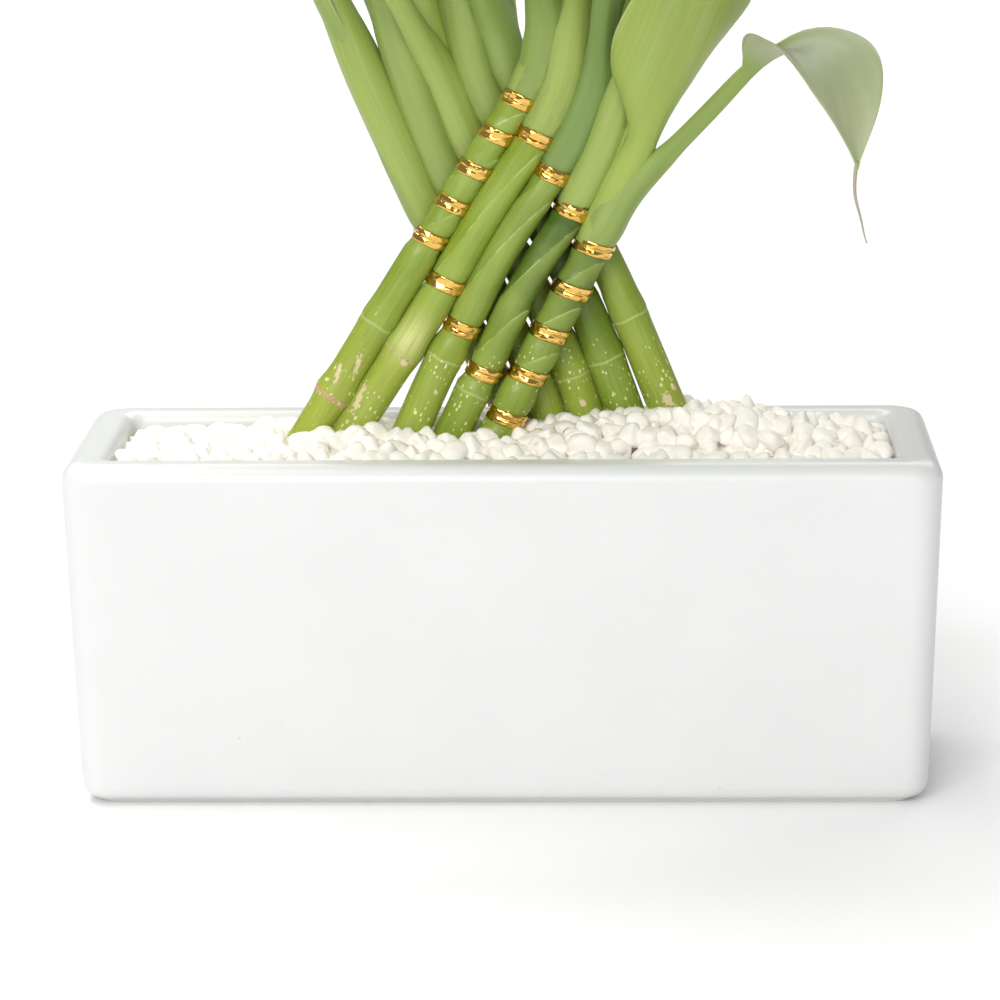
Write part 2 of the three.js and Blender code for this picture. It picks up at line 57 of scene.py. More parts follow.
MM = 0.001
UP = np.array([0.0, 0.0, 1.0])

# Planter: the same named sizes as its solid, and the steps of its finer mesh
DRAFT = 2.8
CORNER_RADIUS = 8.0
CORNER_TIGHTENING = 0.35
CORNER_RADIUS_LEAST = 3.0
RIM_RADIUS = 5.0
LIP_RADIUS = 3.0
BASE_RADIUS = 5.0
BASE_UNDERCUT = 0.7
FOOT_INSET = 4.0
FOOT_HEIGHT = 1.2
FOOT_RING = 6.0
FOOT_RECESS = 0.9
# Soft edges of the foot ring: how far in from its inner side, then from its outer side, and the height
FOOT_INSIDE = ((12, FOOT_RECESS), (1.5, FOOT_RECESS), (0.4, 0.25), (-0.4, 0))
FOOT_OUTSIDE = ((0.5, 0), (0.1, 0.15), (0, 0.5), (0, FOOT_HEIGHT))
FLOOR_THICKNESS = 8.0
FLOOR_FILLET = 4.0
CORNER_STEPS = 10
LONG_STEPS = 34
SHORT_STEPS = 12
EDGE_STEPS = 9
WALL_STEPS = 26
INSIDE_STEPS = 12
# The walls draw in: how far, how much of it varies, and the heights over which it starts and ends
WALL_DRAWS_IN = 0.35
DRAWN_EVENLY = 0.8
DRAWN_UNEVENLY = 0.3
DRAWN_FROM = (4, 14)
DRAWN_TO = (3, 16)
# Waves along and up the wall: millimetres per radian, and where they start
DRAWN_WAVES = ((31, 0.7), (21, 0.4))

# Gravel bed
BED_HALF_LENGTH = 118
BED_LEVEL_LEFT = 85.5
BED_LEVEL_RIGHT = 89.5
LEVEL_RISE = 1.6
MOUND_HEIGHT = 7.0
MOUND_X = 63.0
MOUND_Y = 4.0
MOUND_SPREAD = 30.0
# What lies under the chips is cut level this far above the bed's own level, by a block of these spans
BED_PACKED_UP = 2.0
KNIFE_X = (-130, 130, 47)
KNIFE_Y = (-50, 50, 13)
KNIFE_Z = -20

# Lattice of canes
CANES = 5
LAYER = 5.2
FOOT_Z = 36.0
BASE_Z = 92.0
STRAIGHT_PAST_TIE = 4.0
# Where front and back canes cross at the lattice's corners, as x and z
CORNER_11 = (-19.0, 151.1)
CORNER_15 = (5.1, 188.4)
CORNER_51 = (1.0, 101.7)
CORNER_55 = (24.9, 148.4)
LATTICE_BOWS = (-1.9, -1.0)
BOW_SCALE = 16
FRONT_BASE_X = (-56.1, -45.3, -27.8, -16, -3.4)
BACK_BASE_X = (3.4, 14.2, 25.1, 36.3, 48.8)
# Tops of the shoots: x, y, z and how far x runs per millimetre of height there
FRONT_TOPS = (
    (11.7, -6, 231, 0.12),
    (21.8, -9, 227, 0.2),
    (32.9, -6, 233, 0.25),
    (42, -9, 229, 0.3),
    (52.2, -5, 230, 0.45),
)
BACK_TOPS = (
    (-51.7, 9, 227, -0.45),
    (-37.6, 5, 233, -0.4),
    (-26.4, 9, 229, -0.3),
    (-14.4, 5, 235, -0.2),
    (-3.2, 9, 231, -0.1),
)
SHOOT_TOP_RADIUS = 2.9
SHOOT_TAPERS_FROM = 0.5
TIE_DROP = 0.4
# The middle canes of the front layer grew a little bowed: how far x moves halfway between their end ties
FRONT_BOWS = (0.0, -0.9, -1.6, -1.7, 0.0)
FRONT_BOW_POWER = 1.3


def linear(hex_colour):
    """The linear colour, with alpha 1, of an sRGB hex value."""
    channels = [int(hex_colour[k:k + 2], 16) / 255 for k in (1, 3, 5)]
    return tuple(c / 12.92 if c <= 0.04045 else ((c + 0.055) / 1.055) ** 2.4 for c in channels) + (1.0,)


def mix(a, b, share):
    """From a to b by a share of the way."""
    return a + (b - a) * share


def smooth(share):
    """A share that starts and ends gently, and stays between 0 and 1."""
    t = np.clip(share, 0, 1)
    return t * t * (3 - 2 * t)


def unit(v):
    """The direction of one vector or of each in a list."""
    return v / np.linalg.norm(v, axis=-1, keepdims=True)


def ruled(rule, step):
    """A rule's value at a step: its first value, and what each step adds."""
    return rule[0] + rule[1] * step


class Piece:
    """Closed tubes and bands of one piece in millimetres, with what its finishes read at each point.

    grown: the place on the piece before it was bent, moved by a shift of its own.
    marks: scar, gap to the nearest node and age on a cane, and margin, facing and share along on a leaf.
    tone: light, pale and corky on a cane, and light, yellow and dry on a leaf, where a bloom is below 0.
    edges: gaps to the sheath edges of a cane, up to three.
    """

    LAYERS = ("grown", "marks", "tone", "edges")

    def __init__(self):
        self.points = []
        self.faces = []
        self.finishes = []
        self.layers = {label: [] for label in self.LAYERS}
        self.count = 0

    def add(self, points, faces, finish=0, **layers):
        """Adds one closed surface, its faces turned outwards."""
        volume = 0.0
        for corners in faces:
            a = points[corners[:, 0]]
            for k in range(2, corners.shape[1]):
                b, c = points[corners[:, k - 1]], points[corners[:, k]]
                volume += np.einsum("ij,ij->", a, np.cross(b, c))
        for corners in faces:
            turned = corners if volume > 0 else corners[:, ::-1]
            self.faces.extend((turned + self.count).tolist())
            self.finishes.extend([finish] * len(corners))
        self.points.append(points)
        for label in self.LAYERS:
            values = layers.get(label, (0.0, 0.0, 0.0))
            self.layers[label].append(np.broadcast_to(np.asarray(values, float), points.shape))
        self.count += len(points)

    def tube(self, rings, finish=0, closed=False, **layers):
        """Rings from one end to the other, with a fan at each end, or joined end to end when closed."""
        count, around = rings.shape[:2]
        index = np.arange(count * around).reshape(count, around)
        upper = np.roll(index, -1, axis=0) if closed else index[1:]
        lower = index if closed else index[:-1]
        quads = np.stack([lower, np.roll(lower, -1, 1), np.roll(upper, -1, 1), upper], -1).reshape(-1, 4)
        flat = {}
        for label, values in layers.items():
            flat[label] = np.broadcast_to(np.asarray(values, float), rings.shape).reshape(-1, 3)
        if closed:
            self.add(rings.reshape(-1, 3), [quads], finish, **flat)
            return
        points = np.concatenate([rings.reshape(-1, 3), [rings[0].mean(0), rings[-1].mean(0)]])
        first, last = count * around, count * around + 1
        start, end = index[0], index[-1]
        fans = np.concatenate([
            np.stack([np.roll(start, -1), start, np.full(around, first)], -1),
            np.stack([end, np.roll(end, -1), np.full(around, last)], -1),
        ])
        ends = {k: np.concatenate([v, [v[:around].mean(0), v[-around:].mean(0)]]) for k, v in flat.items()}
        self.add(points, [quads, fans], finish, **ends)

    def build(self, name, finishes):
        """The finished object, in metres, riding on the one body."""
        mesh = bpy.data.meshes.new(name)
        mesh.from_pydata((np.concatenate(self.points) * MM).tolist(), [], self.faces)
        for label in self.LAYERS:
            layer = mesh.attributes.new(label, "FLOAT_VECTOR", "POINT")
            layer.data.foreach_set("vector", np.concatenate(self.layers[label]).astype(np.float32).ravel())
        mesh.polygons.foreach_set("material_index", self.finishes)
        for finish in finishes:
            mesh.materials.append(finish)
        mesh.validate()
        mesh.shade_smooth()
        piece = bpy.data.objects.new(name, mesh)
        bpy.context.scene.collection.objects.link(piece)
        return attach(piece, "root")


# Canes and leaves, by the solids' own rules


def bow_at(share, back):
    """A back cane's sideways curve at a share of the way between its end ties."""
    u = np.clip(share, 0, 1)
    return mix(*LATTICE_BOWS, back / (CANES - 1)) * BOW_SCALE * u * u * (1 - u) * (1 - u)


def crossing(front, back):
    """Where front cane and back cane cross, as (x, z)."""
    u, v = front / (CANES - 1), back / (CANES - 1)
    x, z = (mix(mix(CORNER_11[k], CORNER_15[k], v), mix(CORNER_51[k], CORNER_55[k], v), u) for k in (0, 1))
    return x + bow_at(u, back), z


def bend(a, slope_a, b, slope_b, run, u):
    """A smooth curve from a to b that leaves and arrives at the two slopes."""
    return ((2 * u**3 - 3 * u**2 + 1) * a + (3 * u**2 - 2 * u**3) * b
            + run * ((u**3 - 2 * u**2 + u) * slope_a + (u**3 - u**2) * slope_b))


class Cane:
    """One cane's line, from its foot in the gravel to the top of its shoot."""

    def __init__(self, index, in_front):
        self.index = index
        self.in_front = in_front
        self.place = index + (CANES if in_front else 0)
        self.name = f"{'front' if in_front else 'back'}_stalk_{index + 1}"
        self.layer_y = -LAYER if in_front else LAYER
        low = crossing(index, 0) if in_front else crossing(CANES - 1, index)
        high = crossing(index, CANES - 1) if in_front else crossing(0, index)
        self.low = low
        self.rise = high[1] - low[1]
        self.slope = (high[0] - low[0]) / self.rise
        self.low_z = low[1] - STRAIGHT_PAST_TIE
        self.high_z = high[1] + STRAIGHT_PAST_TIE
        self.base_x = (FRONT_BASE_X if in_front else BACK_BASE_X)[index]
        self.top_x, self.top_y, self.top_z, self.top_slope = (FRONT_TOPS if in_front else BACK_TOPS)[index]
        self.base_slope = (self.line_x(self.low_z) - self.base_x) / (self.low_z - BASE_Z)

    def line_x(self, z):
        """Where the cane's line is between its end ties, at a height."""
        up = z - self.low[1]
        share = np.clip(up / self.rise, 0, 1)
        hump = FRONT_BOWS[self.index] * (4 * share * (1 - share)) ** FRONT_BOW_POWER
        bow = hump if self.in_front else bow_at(up / self.rise, self.index)
        return self.low[0] + self.slope * up + bow

    def at(self, z):
        """Points of the cane's middle line at heights z."""
        z = np.asarray(z, float)
        low_run, high_run = self.low_z - BASE_Z, self.top_z - self.high_z
        low_u = np.clip((z - BASE_Z) / low_run, 0, 1)
        high_u = np.clip((z - self.high_z) / high_run, 0, 1)
        curve = bend(self.base_x, self.base_slope, self.line_x(self.low_z), self.slope, low_run, low_u)
        shoot = bend(self.line_x(self.high_z), self.slope, self.top_x, self.top_slope, high_run, high_u)
        x = np.where(z < BASE_Z, self.base_x + self.base_slope * (z - BASE_Z), curve)
        x = np.where(z >= self.low_z, self.line_x(z), x)
        x = np.where(z >= self.high_z, shoot, x)
        y = bend(self.layer_y, 0.0, self.top_y, 0.0, high_run, high_u)
        return np.stack([x, y, z], -1)

    def along(self, z):
        """The cane's directions at heights z."""
        return unit(self.at(np.asarray(z, float) + 0.5) - self.at(np.asarray(z, float) - 0.5))

    def radius(self, z):
        """The skin's radius. It is a little fuller than the solid's, which leaves room for the ties."""
        layer = "front" if self.in_front else "back"
        base, low, high = (r * FULLNESS.get(self.name, 1) for r in CANE_RADII[layer])
        z = np.asarray(z, float)
        rise = smooth((z - BASE_Z) / (self.low_z - BASE_Z))
        run = (z - self.low_z) / (self.high_z - self.low_z)
        shoot = np.clip((z - self.high_z) / (self.top_z - self.high_z), 0, 1)
        lower = mix(base, low, rise)
        taper = smooth((shoot - SHOOT_TAPERS_FROM) / (1 - SHOOT_TAPERS_FROM))
        swell = SHOOT_SWELLS[layer] * np.sin(np.pi * shoot)
        above = mix(high, SHOOT_TOP_RADIUS, taper) + swell
        upper = np.where(z < self.high_z, mix(low, high, run), above)
        return np.where(z < self.low_z, lower, upper)

    def tie_heights(self):
        """Heights of the crossings where this cane is tied."""
        last = CANES - 1
        ends = range(CANES) if self.index in (0, last) else (0, last)
        pairs = [(self.index, k) if self.in_front else (k, self.index) for k in ends]
        return [crossing(*pair)[1] - TIE_DROP for pair in pairs]


# Radii of the canes at the gravel, at their lowest tie and at their highest
CANE_RADII = {"front": (5.05, 4.98, 5.05), "back": (5.15, 4.9, 4.6)}
SHOOT_SWELLS = {"front": 0.4, "back": 0.9}
# Slimmer canes, as a share of their layer's radii
FULLNESS = {"front_stalk_1": 0.89, "front_stalk_3": 0.92, "front_stalk_4": 0.92}
ALL_CANES = [Cane(k, in_front) for in_front in (False, True) for k in range(CANES)]

# Each cane's nodes: height, and how corky the scar is, from 0, a pale line, to 1, a wide fibrous ring
NODES = {
    "front_stalk_1": ((107.1, 0.8), (127.1, 0.1)),
    "front_stalk_2": ((119.2, 0.5),),
    "front_stalk_3": ((117.7, 0.1),),
    "front_stalk_4": ((108.0, 0.08),),
    "back_stalk_3": ((110.6, 0.05),),
    "back_stalk_4": ((115.3, 0.08),),
    "back_stalk_5": ((126.9, 0.05),),
}
# Edges of the old leaf sheaths: middle height, half its rise from left to right, and how far it curls late
SHEATH_EDGES = {
    "front_stalk_1": ((156.0, 4.0, 0.2), (170.0, 4.5, 0.1), (182.5, 4.0, 0.3)),
    "front_stalk_2": ((159.0, 17.0, 0.35),),
    "front_stalk_3": ((149.5, 14.0, 0.2), (170.0, 9.0, 0.3)),
    "front_stalk_4": ((145.5, 12.0, 0.1), (126.0, 7.0, 0.25)),
    "front_stalk_5": ((117.4, 3.8, 0.2), (129.2, 4.4, 0.2), (141.0, 4.8, 0.3)),
    "back_stalk_1": ((131.5, 8.0, 0.2),),
    "back_stalk_2": ((142.8, 9.0, 0.2),),
    "back_stalk_3": ((136.7, 9.0, 0.1),),
    "back_stalk_4": ((154.0, 9.0, 0.2),),
    "back_stalk_5": ((145.0, 9.0, 0.3),),
}
# Healed scars: height, angle round from the front in degrees, half the length and half the width
SCARS = {
    "front_stalk_1": ((113.2, -24, 2.9, 0.85), (117.3, 14, 3.5, 0.8), (130.6, -22, 1.5, 0.5)),
    "front_stalk_2": ((105.5, -40, 4.5, 1.1), (118.0, 20, 1.0, 1.4)),
    "front_stalk_3": ((109.5, 24, 0.8, 0.7),),
    "back_stalk_3": ((103.5, 5, 1.4, 0.9),),
    "back_stalk_5": ((104.0, 12, 2.2, 1.5), (106.5, 46, 1.6, 0.8)),
}
# How bright each cane's green is, from 0, deep, to 1, light
CANE_TONES = {
    "front_stalk_1": 0.77,
    "front_stalk_2": 0.82,
    "front_stalk_3": 0.56,
    "front_stalk_4": 0.12,
    "front_stalk_5": 0.12,
    "back_stalk_1": 0.54,
    "back_stalk_2": 0.4,
    "back_stalk_3": 0.45,
    "back_stalk_4": 0.05,
    "back_stalk_5": 0.6,
}

# Crown: the same rule as the solids. What changes by steps has a first value and what each step adds
FORWARD_FAN = (-74, 12)
BACKWARD_FAN = (-63, 14)
LAST_SHOOT_TURN = 30
FAN_SHARES = (0.6, 0.95, 0.89, 1.08)
LEVELS_Z = (193.7, 14.8)
LEANS = (42, -8)
FALLS = (110, -21)
LENGTHS = (122, 4)
LENGTH_VARIES = 9
WIDTHS = (20, 2)
LOWEST_ABOVE_TIE = 3
LOWEST_LONGER = 15
LOWEST_BEND_FROM = 0.25
# Heights of the highest and the lowest of the lowest leaves, and how the two differ
LOWEST_SPAN_Z = (194.6, 154)
LOWEST_NECKS = (0.3, 0.4)
LOWEST_FOLLOWS = (0.08, 0.35)
TIP_BELOW_TOP = 3
TIP_SHORTER = 12
PLAIN_LEAF = dict(bend_from=0.1, follow=0.22, neck=0.3, turn=0)
TIP_LEAF = dict(width=19, lean=5, fall=32, follow=0.77)
BROAD = dict(
    PLAIN_LEAF, z=152.2, azimuth=-60, length=170, width=38.5, lean=35, fall=66, bend_from=0.7, follow=0.18,
    neck=0.16, skew=0.55,
)
DROOPING = dict(
    PLAIN_LEAF, z=152.2, azimuth=-17, length=124.6, width=31.4, lean=45, fall=167, bend_from=0.41,
    follow=0.1, neck=0.5, turn=-51, skew=0.7, stands=0.3, petiole=6.2, tail=19, bloom=0.85,
)
FAR_LEFT = dict(
    PLAIN_LEAF, z=155.2, azimuth=176, length=170, width=24.3, lean=25, fall=84, bend_from=0.3, follow=0.1,
    neck=0.34, petiole=9,
)

LEAF_STEPS = 48
LEAF_ROOT = 0.55
# Angles of the folds in degrees, from the middle to one margin
FOLD_PETIOLE = 55
FOLD_BLADE = 14
BLADE_SKEW = 0.8
BLADE_POINT = 1.1
PETIOLE_HALF = 5.6
LOWEST_PETIOLE_HALF = 8.0
PETIOLE_TAPER = 0.3
LEAF_END_HALF = 0.35
OPEN_FROM = 0.7
OPEN_OVER = 0.35


def leaves_of(cane):
    """The leaves of one shoot, by the crown's rule, lowest first."""
    is_first, is_last = cane.place == 0, cane.place == 2 * CANES - 1
    leaves = [FAR_LEFT] if is_first else [BROAD, DROOPING] if is_last else []
    for n in range(1 if leaves else 0, len(FAN_SHARES)):
        forwards = (n + cane.index) % 2 == 0
        fan = ruled(FORWARD_FAN if forwards else BACKWARD_FAN, cane.place)
        fan = FAN_SHARES[n] * (fan + (LAST_SHOOT_TURN if forwards and is_last else 0))
        leaf = dict(
            PLAIN_LEAF,
            z=ruled(LEVELS_Z, n),
            azimuth=-90 + fan if forwards else 90 - fan,
            length=ruled(LENGTHS, n) + LENGTH_VARIES * ((cane.place * 3 + n * 2) % 4),
            width=ruled(WIDTHS, (cane.place + n) % 3),
            lean=ruled(LEANS, n),
            fall=ruled(FALLS, n),
        )
        if n == 0:
            leaf["z"] = cane.high_z + LOWEST_ABOVE_TIE
            leaf["length"] += LOWEST_LONGER
            leaf["bend_from"] = LOWEST_BEND_FROM
            depth = (LOWEST_SPAN_Z[0] - leaf["z"]) / (LOWEST_SPAN_Z[0] - LOWEST_SPAN_Z[1])
            leaf["neck"] = mix(*LOWEST_NECKS, depth)
            leaf["follow"] = mix(*LOWEST_FOLLOWS, depth)
            leaf["petiole"] = LOWEST_PETIOLE_HALF
        if n == len(FAN_SHARES) - 1:
            leaf.update(TIP_LEAF)
            leaf["z"] = cane.top_z - TIP_BELOW_TOP
            leaf["length"] -= TIP_SHORTER
        leaves.append(leaf)
    return leaves


# Fine canes

CANE_SIDES = 40
CANE_STEP = 0.7
BURIED_STEP = 7.0
BURIED_TO_Z = 80.0
CANE_SEED = 1.7
# Uneven growth of the skin: depth, waves round the cane, shift per seed and millimetres up per radian
UNEVEN = ((0.1, 2, 1, 19), (0.06, 3, -2, -27))
NODE_TILT = 0.25
NODE_RIPPLE = 0.1
NODE_RIPPLES = 5
NODE_SWELL = 0.32
NODE_SWELL_ABOVE = 1.2
NODE_SWELL_LENGTH = 3.0
CORKY_SWELLS = 1.5
NODE_LINE_DEPTH = 0.16
NODE_LINE_WIDTH = 0.45
CORK_FROM = 0.3
CORK_STANDS = 0.3
CORK_ABOVE = 0.5
CORK_LENGTH = 0.8
CORK_RAGGED = 0.5
CORK_RAGS = ((9, 2.1), (4, -1.3))
SHEATH_THICKNESS = 0.3
SHEATH_EDGE_WIDTH = 0.7
SHEATH_EDGE_TURN = 0.6
SCAR_SLANT = 0.25
# Pale patches: height, angle round from the front, length and spread, with angles in degrees
PALE_PATCHES = {"front_stalk_2": ((123.8, -8, 5.5, 55),)}
PALE_MOST = 0.85
# The skin is young above this height and old this much further down
AGED_BELOW = 150
AGED_OVER = 52
PINCH_REACH = 2.4
PINCH_DEPTH = 0.12
# Gap to a node or a sheath edge that isn't there
FAR = 50.0
GROWN_RADIUS = 5
GROWN_SHIFT = 31
GROWN_STRETCH = 1.12


def angle_from(turn, degrees):
    """Angles round the cane from a place given in degrees, between minus pi and pi."""
    return np.mod(turn - np.radians(degrees) + np.pi, 2 * np.pi) - np.pi


def cane_skin(piece, cane):
    """The cane and the stem of its shoot: nodes, the steps of the old leaf sheaths and healed scars."""
    buried = np.arange(FOOT_Z, BURIED_TO_Z, BURIED_STEP)
    z = np.concatenate([buried, np.arange(BURIED_TO_Z, cane.top_z, CANE_STEP)])
    angle = np.arange(CANE_SIDES) * 2 * np.pi / CANE_SIDES
    along = cane.along(z)
    right = unit(np.stack([along[:, 2], 0 * z, -along[:, 0]], -1))
    back = np.cross(along, right)
    height, turn = z[:, None], angle[None, :]
    seed = cane.place * CANE_SEED
    # Each tie pinches the skin a little, and nothing stands out under it
    quiet = np.ones(len(z))
    pinch = np.zeros(len(z))
    for tie_z in cane.tie_heights():
        quiet *= smooth((np.abs(z - tie_z) - PINCH_REACH) / PINCH_REACH)
        pinch = np.maximum(pinch, np.exp(-((z - tie_z) / PINCH_REACH) ** 2))
    quiet, pinch = quiet[:, None], pinch[:, None]
    radius = cane.radius(z)[:, None] - PINCH_DEPTH * pinch + 0 * turn
    for depth, waves, shift, climb in UNEVEN:
        radius += quiet * depth * np.sin(waves * turn + shift * seed + height / climb)
    node_gap = np.full(radius.shape, FAR)
    cork = np.zeros(radius.shape)
    for node_z, corky in NODES.get(cane.name, ()):
        gap = height - node_z - NODE_TILT * np.sin(turn + seed)
        gap -= NODE_RIPPLE * np.sin(turn * NODE_RIPPLES + seed)
        swell = NODE_SWELL * (1 + CORKY_SWELLS * corky)
        radius += quiet * swell * np.exp(-((gap - NODE_SWELL_ABOVE) / NODE_SWELL_LENGTH) ** 2)
        radius -= NODE_LINE_DEPTH * np.exp(-(gap / NODE_LINE_WIDTH) ** 2)
        coarse, fine = (np.sin(turn * waves + height * climb) for waves, climb in CORK_RAGS)
        ragged = 1 + CORK_RAGGED * coarse * fine
        stands = CORK_STANDS * max(corky - CORK_FROM, 0)
        radius += stands * np.exp(-((gap - CORK_ABOVE) / CORK_LENGTH) ** 2) * ragged
        nearer = np.abs(gap) < np.abs(node_gap)
        node_gap = np.where(nearer, gap, node_gap)
        cork = np.where(nearer, corky, cork)
    edges = np.full(radius.shape + (3,), FAR)
    for k, (middle, rise, curl) in enumerate(SHEATH_EDGES.get(cane.name, ())):
        late = 2 * turn + SHEATH_EDGE_TURN
        edge_z = middle + rise * (np.sin(turn) + curl * np.sin(late))
        slant = rise * np.abs(np.cos(turn) + 2 * curl * np.cos(late)) / radius
        gap = (height - edge_z) / np.sqrt(1 + slant**2)
        radius += quiet * SHEATH_THICKNESS * (0.5 - smooth(gap / SHEATH_EDGE_WIDTH + 0.5))
        edges[..., k] = gap
    scar = np.zeros(radius.shape)
    for scar_z, degrees, length, width in SCARS.get(cane.name, ()):
        across = angle_from(turn, degrees) * radius + SCAR_SLANT * (height - scar_z)
        closeness = 1 - np.sqrt(((height - scar_z) / length) ** 2 + (across / width) ** 2) / 2
        scar = np.maximum(scar, closeness)
    pale = flat = 0 * radius
    for pale_z, degrees, length, spread in PALE_PATCHES.get(cane.name, ()):
        across = angle_from(turn, degrees) / np.radians(spread)
        pale = pale + PALE_MOST * np.exp(-((height - pale_z) / length) ** 2 - across**2)
    around = right[:, None, :] * np.sin(turn)[..., None] - back[:, None, :] * np.cos(turn)[..., None]
    rings = cane.at(z)[:, None, :] + around * radius[..., None]
    age = smooth((AGED_BELOW - height) / AGED_OVER) + flat
    round_x, round_y = GROWN_RADIUS * np.sin(turn), GROWN_RADIUS * np.cos(turn) + seed * GROWN_SHIFT
    grown = np.stack([round_x + flat, round_y + flat, height * GROWN_STRETCH + flat], -1)
    tone = np.full(radius.shape, CANE_TONES[cane.name])
    marks = np.stack([scar, node_gap, age], -1)
    piece.tube(rings, 0, grown=grown, marks=marks, edges=edges, tone=np.stack([tone, pale, cork], -1))


# Fine leaves

SHEATH_HALF_ANGLE = 174
SHEATH_BELOW_TOP = 1
SHEATH_STANDS = 0.42
SHEATH_RANK_STEP = 0.1
SHEATH_SUNK = 0.45
SHEATH_RISES_OVER = 6.0
SHEATH_STEP = 3.0
SHEATH_CLOSED_UNTIL = 0.05
SHEATH_OPEN_AT = 0.27
HUG_UNTIL = 0.22
LEAF_ACROSS = 23
LEAF_THICKNESS = 0.5
PETIOLE_THICKNESS = 1.2
MIDRIB_STANDS = 0.35
MIDRIB_WIDTH = 1.1
MIDRIB_OVER = 0.4
MARGIN_WAVE = 0.8
MARGIN_WAVES = 17
MARGIN_SHIFT = 1.9
MARGIN_THINNED = 0.06
PLEAT_DEPTH = 0.1
PLEAT_WIDTH = 6.5
TIP_FLAT_OVER = 6
# Half widths from which waves, thickness and midrib are full
WAVED_FROM = 6
THICK_FROM = 1.2
RIB_FROM = 3
ACROSS_POWER = 0.85
CLASP_POWER = 0.8
LEAF_SEED = 2.3
RANK_SEED = 1.1
LEAF_SHIFT = 13
BLOOM_OVER = 0.1
DRY_FROM = 0.97
TAIL_STEPS = 20
TAIL_SIDES = 8
TAIL_RADII = (0.55, 0.18)
TAIL_STARTS_BACK = 2
TAIL_TURNS_DOWN = 4
TAIL_MARKS = (9.0, 1.0, 1.0)
TAIL_TONE = (0.3, 0.1, 0.9)
TAIL_SWAY = -0.7
TAIL_HOOK = 2.6


def leaf_line(cane, leaf):
    """The leaf's middle line and its directions along, sideways and outwards, as its solid has them."""
    steps = LEAF_STEPS
    heading = cane.along(leaf["z"])
    azimuth, turn = np.radians(leaf["azimuth"]), np.radians(leaf["turn"])
    lean, fall = np.radians(leaf["lean"]), np.radians(leaf["fall"])
    start_out = np.array([np.cos(azimuth), np.sin(azimuth), 0])
    point = cane.at(leaf["z"]) + start_out * float(cane.radius(leaf["z"])) * LEAF_ROOT
    points, alongs, sides, outs = [], [], [], []
    for k in range(steps + 1):
        t = k / steps
        angle = mix(lean, fall, smooth((t - leaf["bend_from"]) / (1 - leaf["bend_from"])))
        compass = azimuth + turn * smooth(t)
        out = np.array([np.cos(compass), np.sin(compass), 0])
        share = 1 - smooth(t / leaf["follow"])
        along = unit(mix(out * np.sin(angle) + UP * np.cos(angle), heading, share))
        side = np.cross(UP, out)
        side = unit(side - along * side.dot(along))
        points.append(point)
        alongs.append(along)
        sides.append(side)
        outs.append(out)
        point = point + along * leaf["length"] / steps
    return np.array(points), np.array(alongs), np.array(sides), np.array(outs)


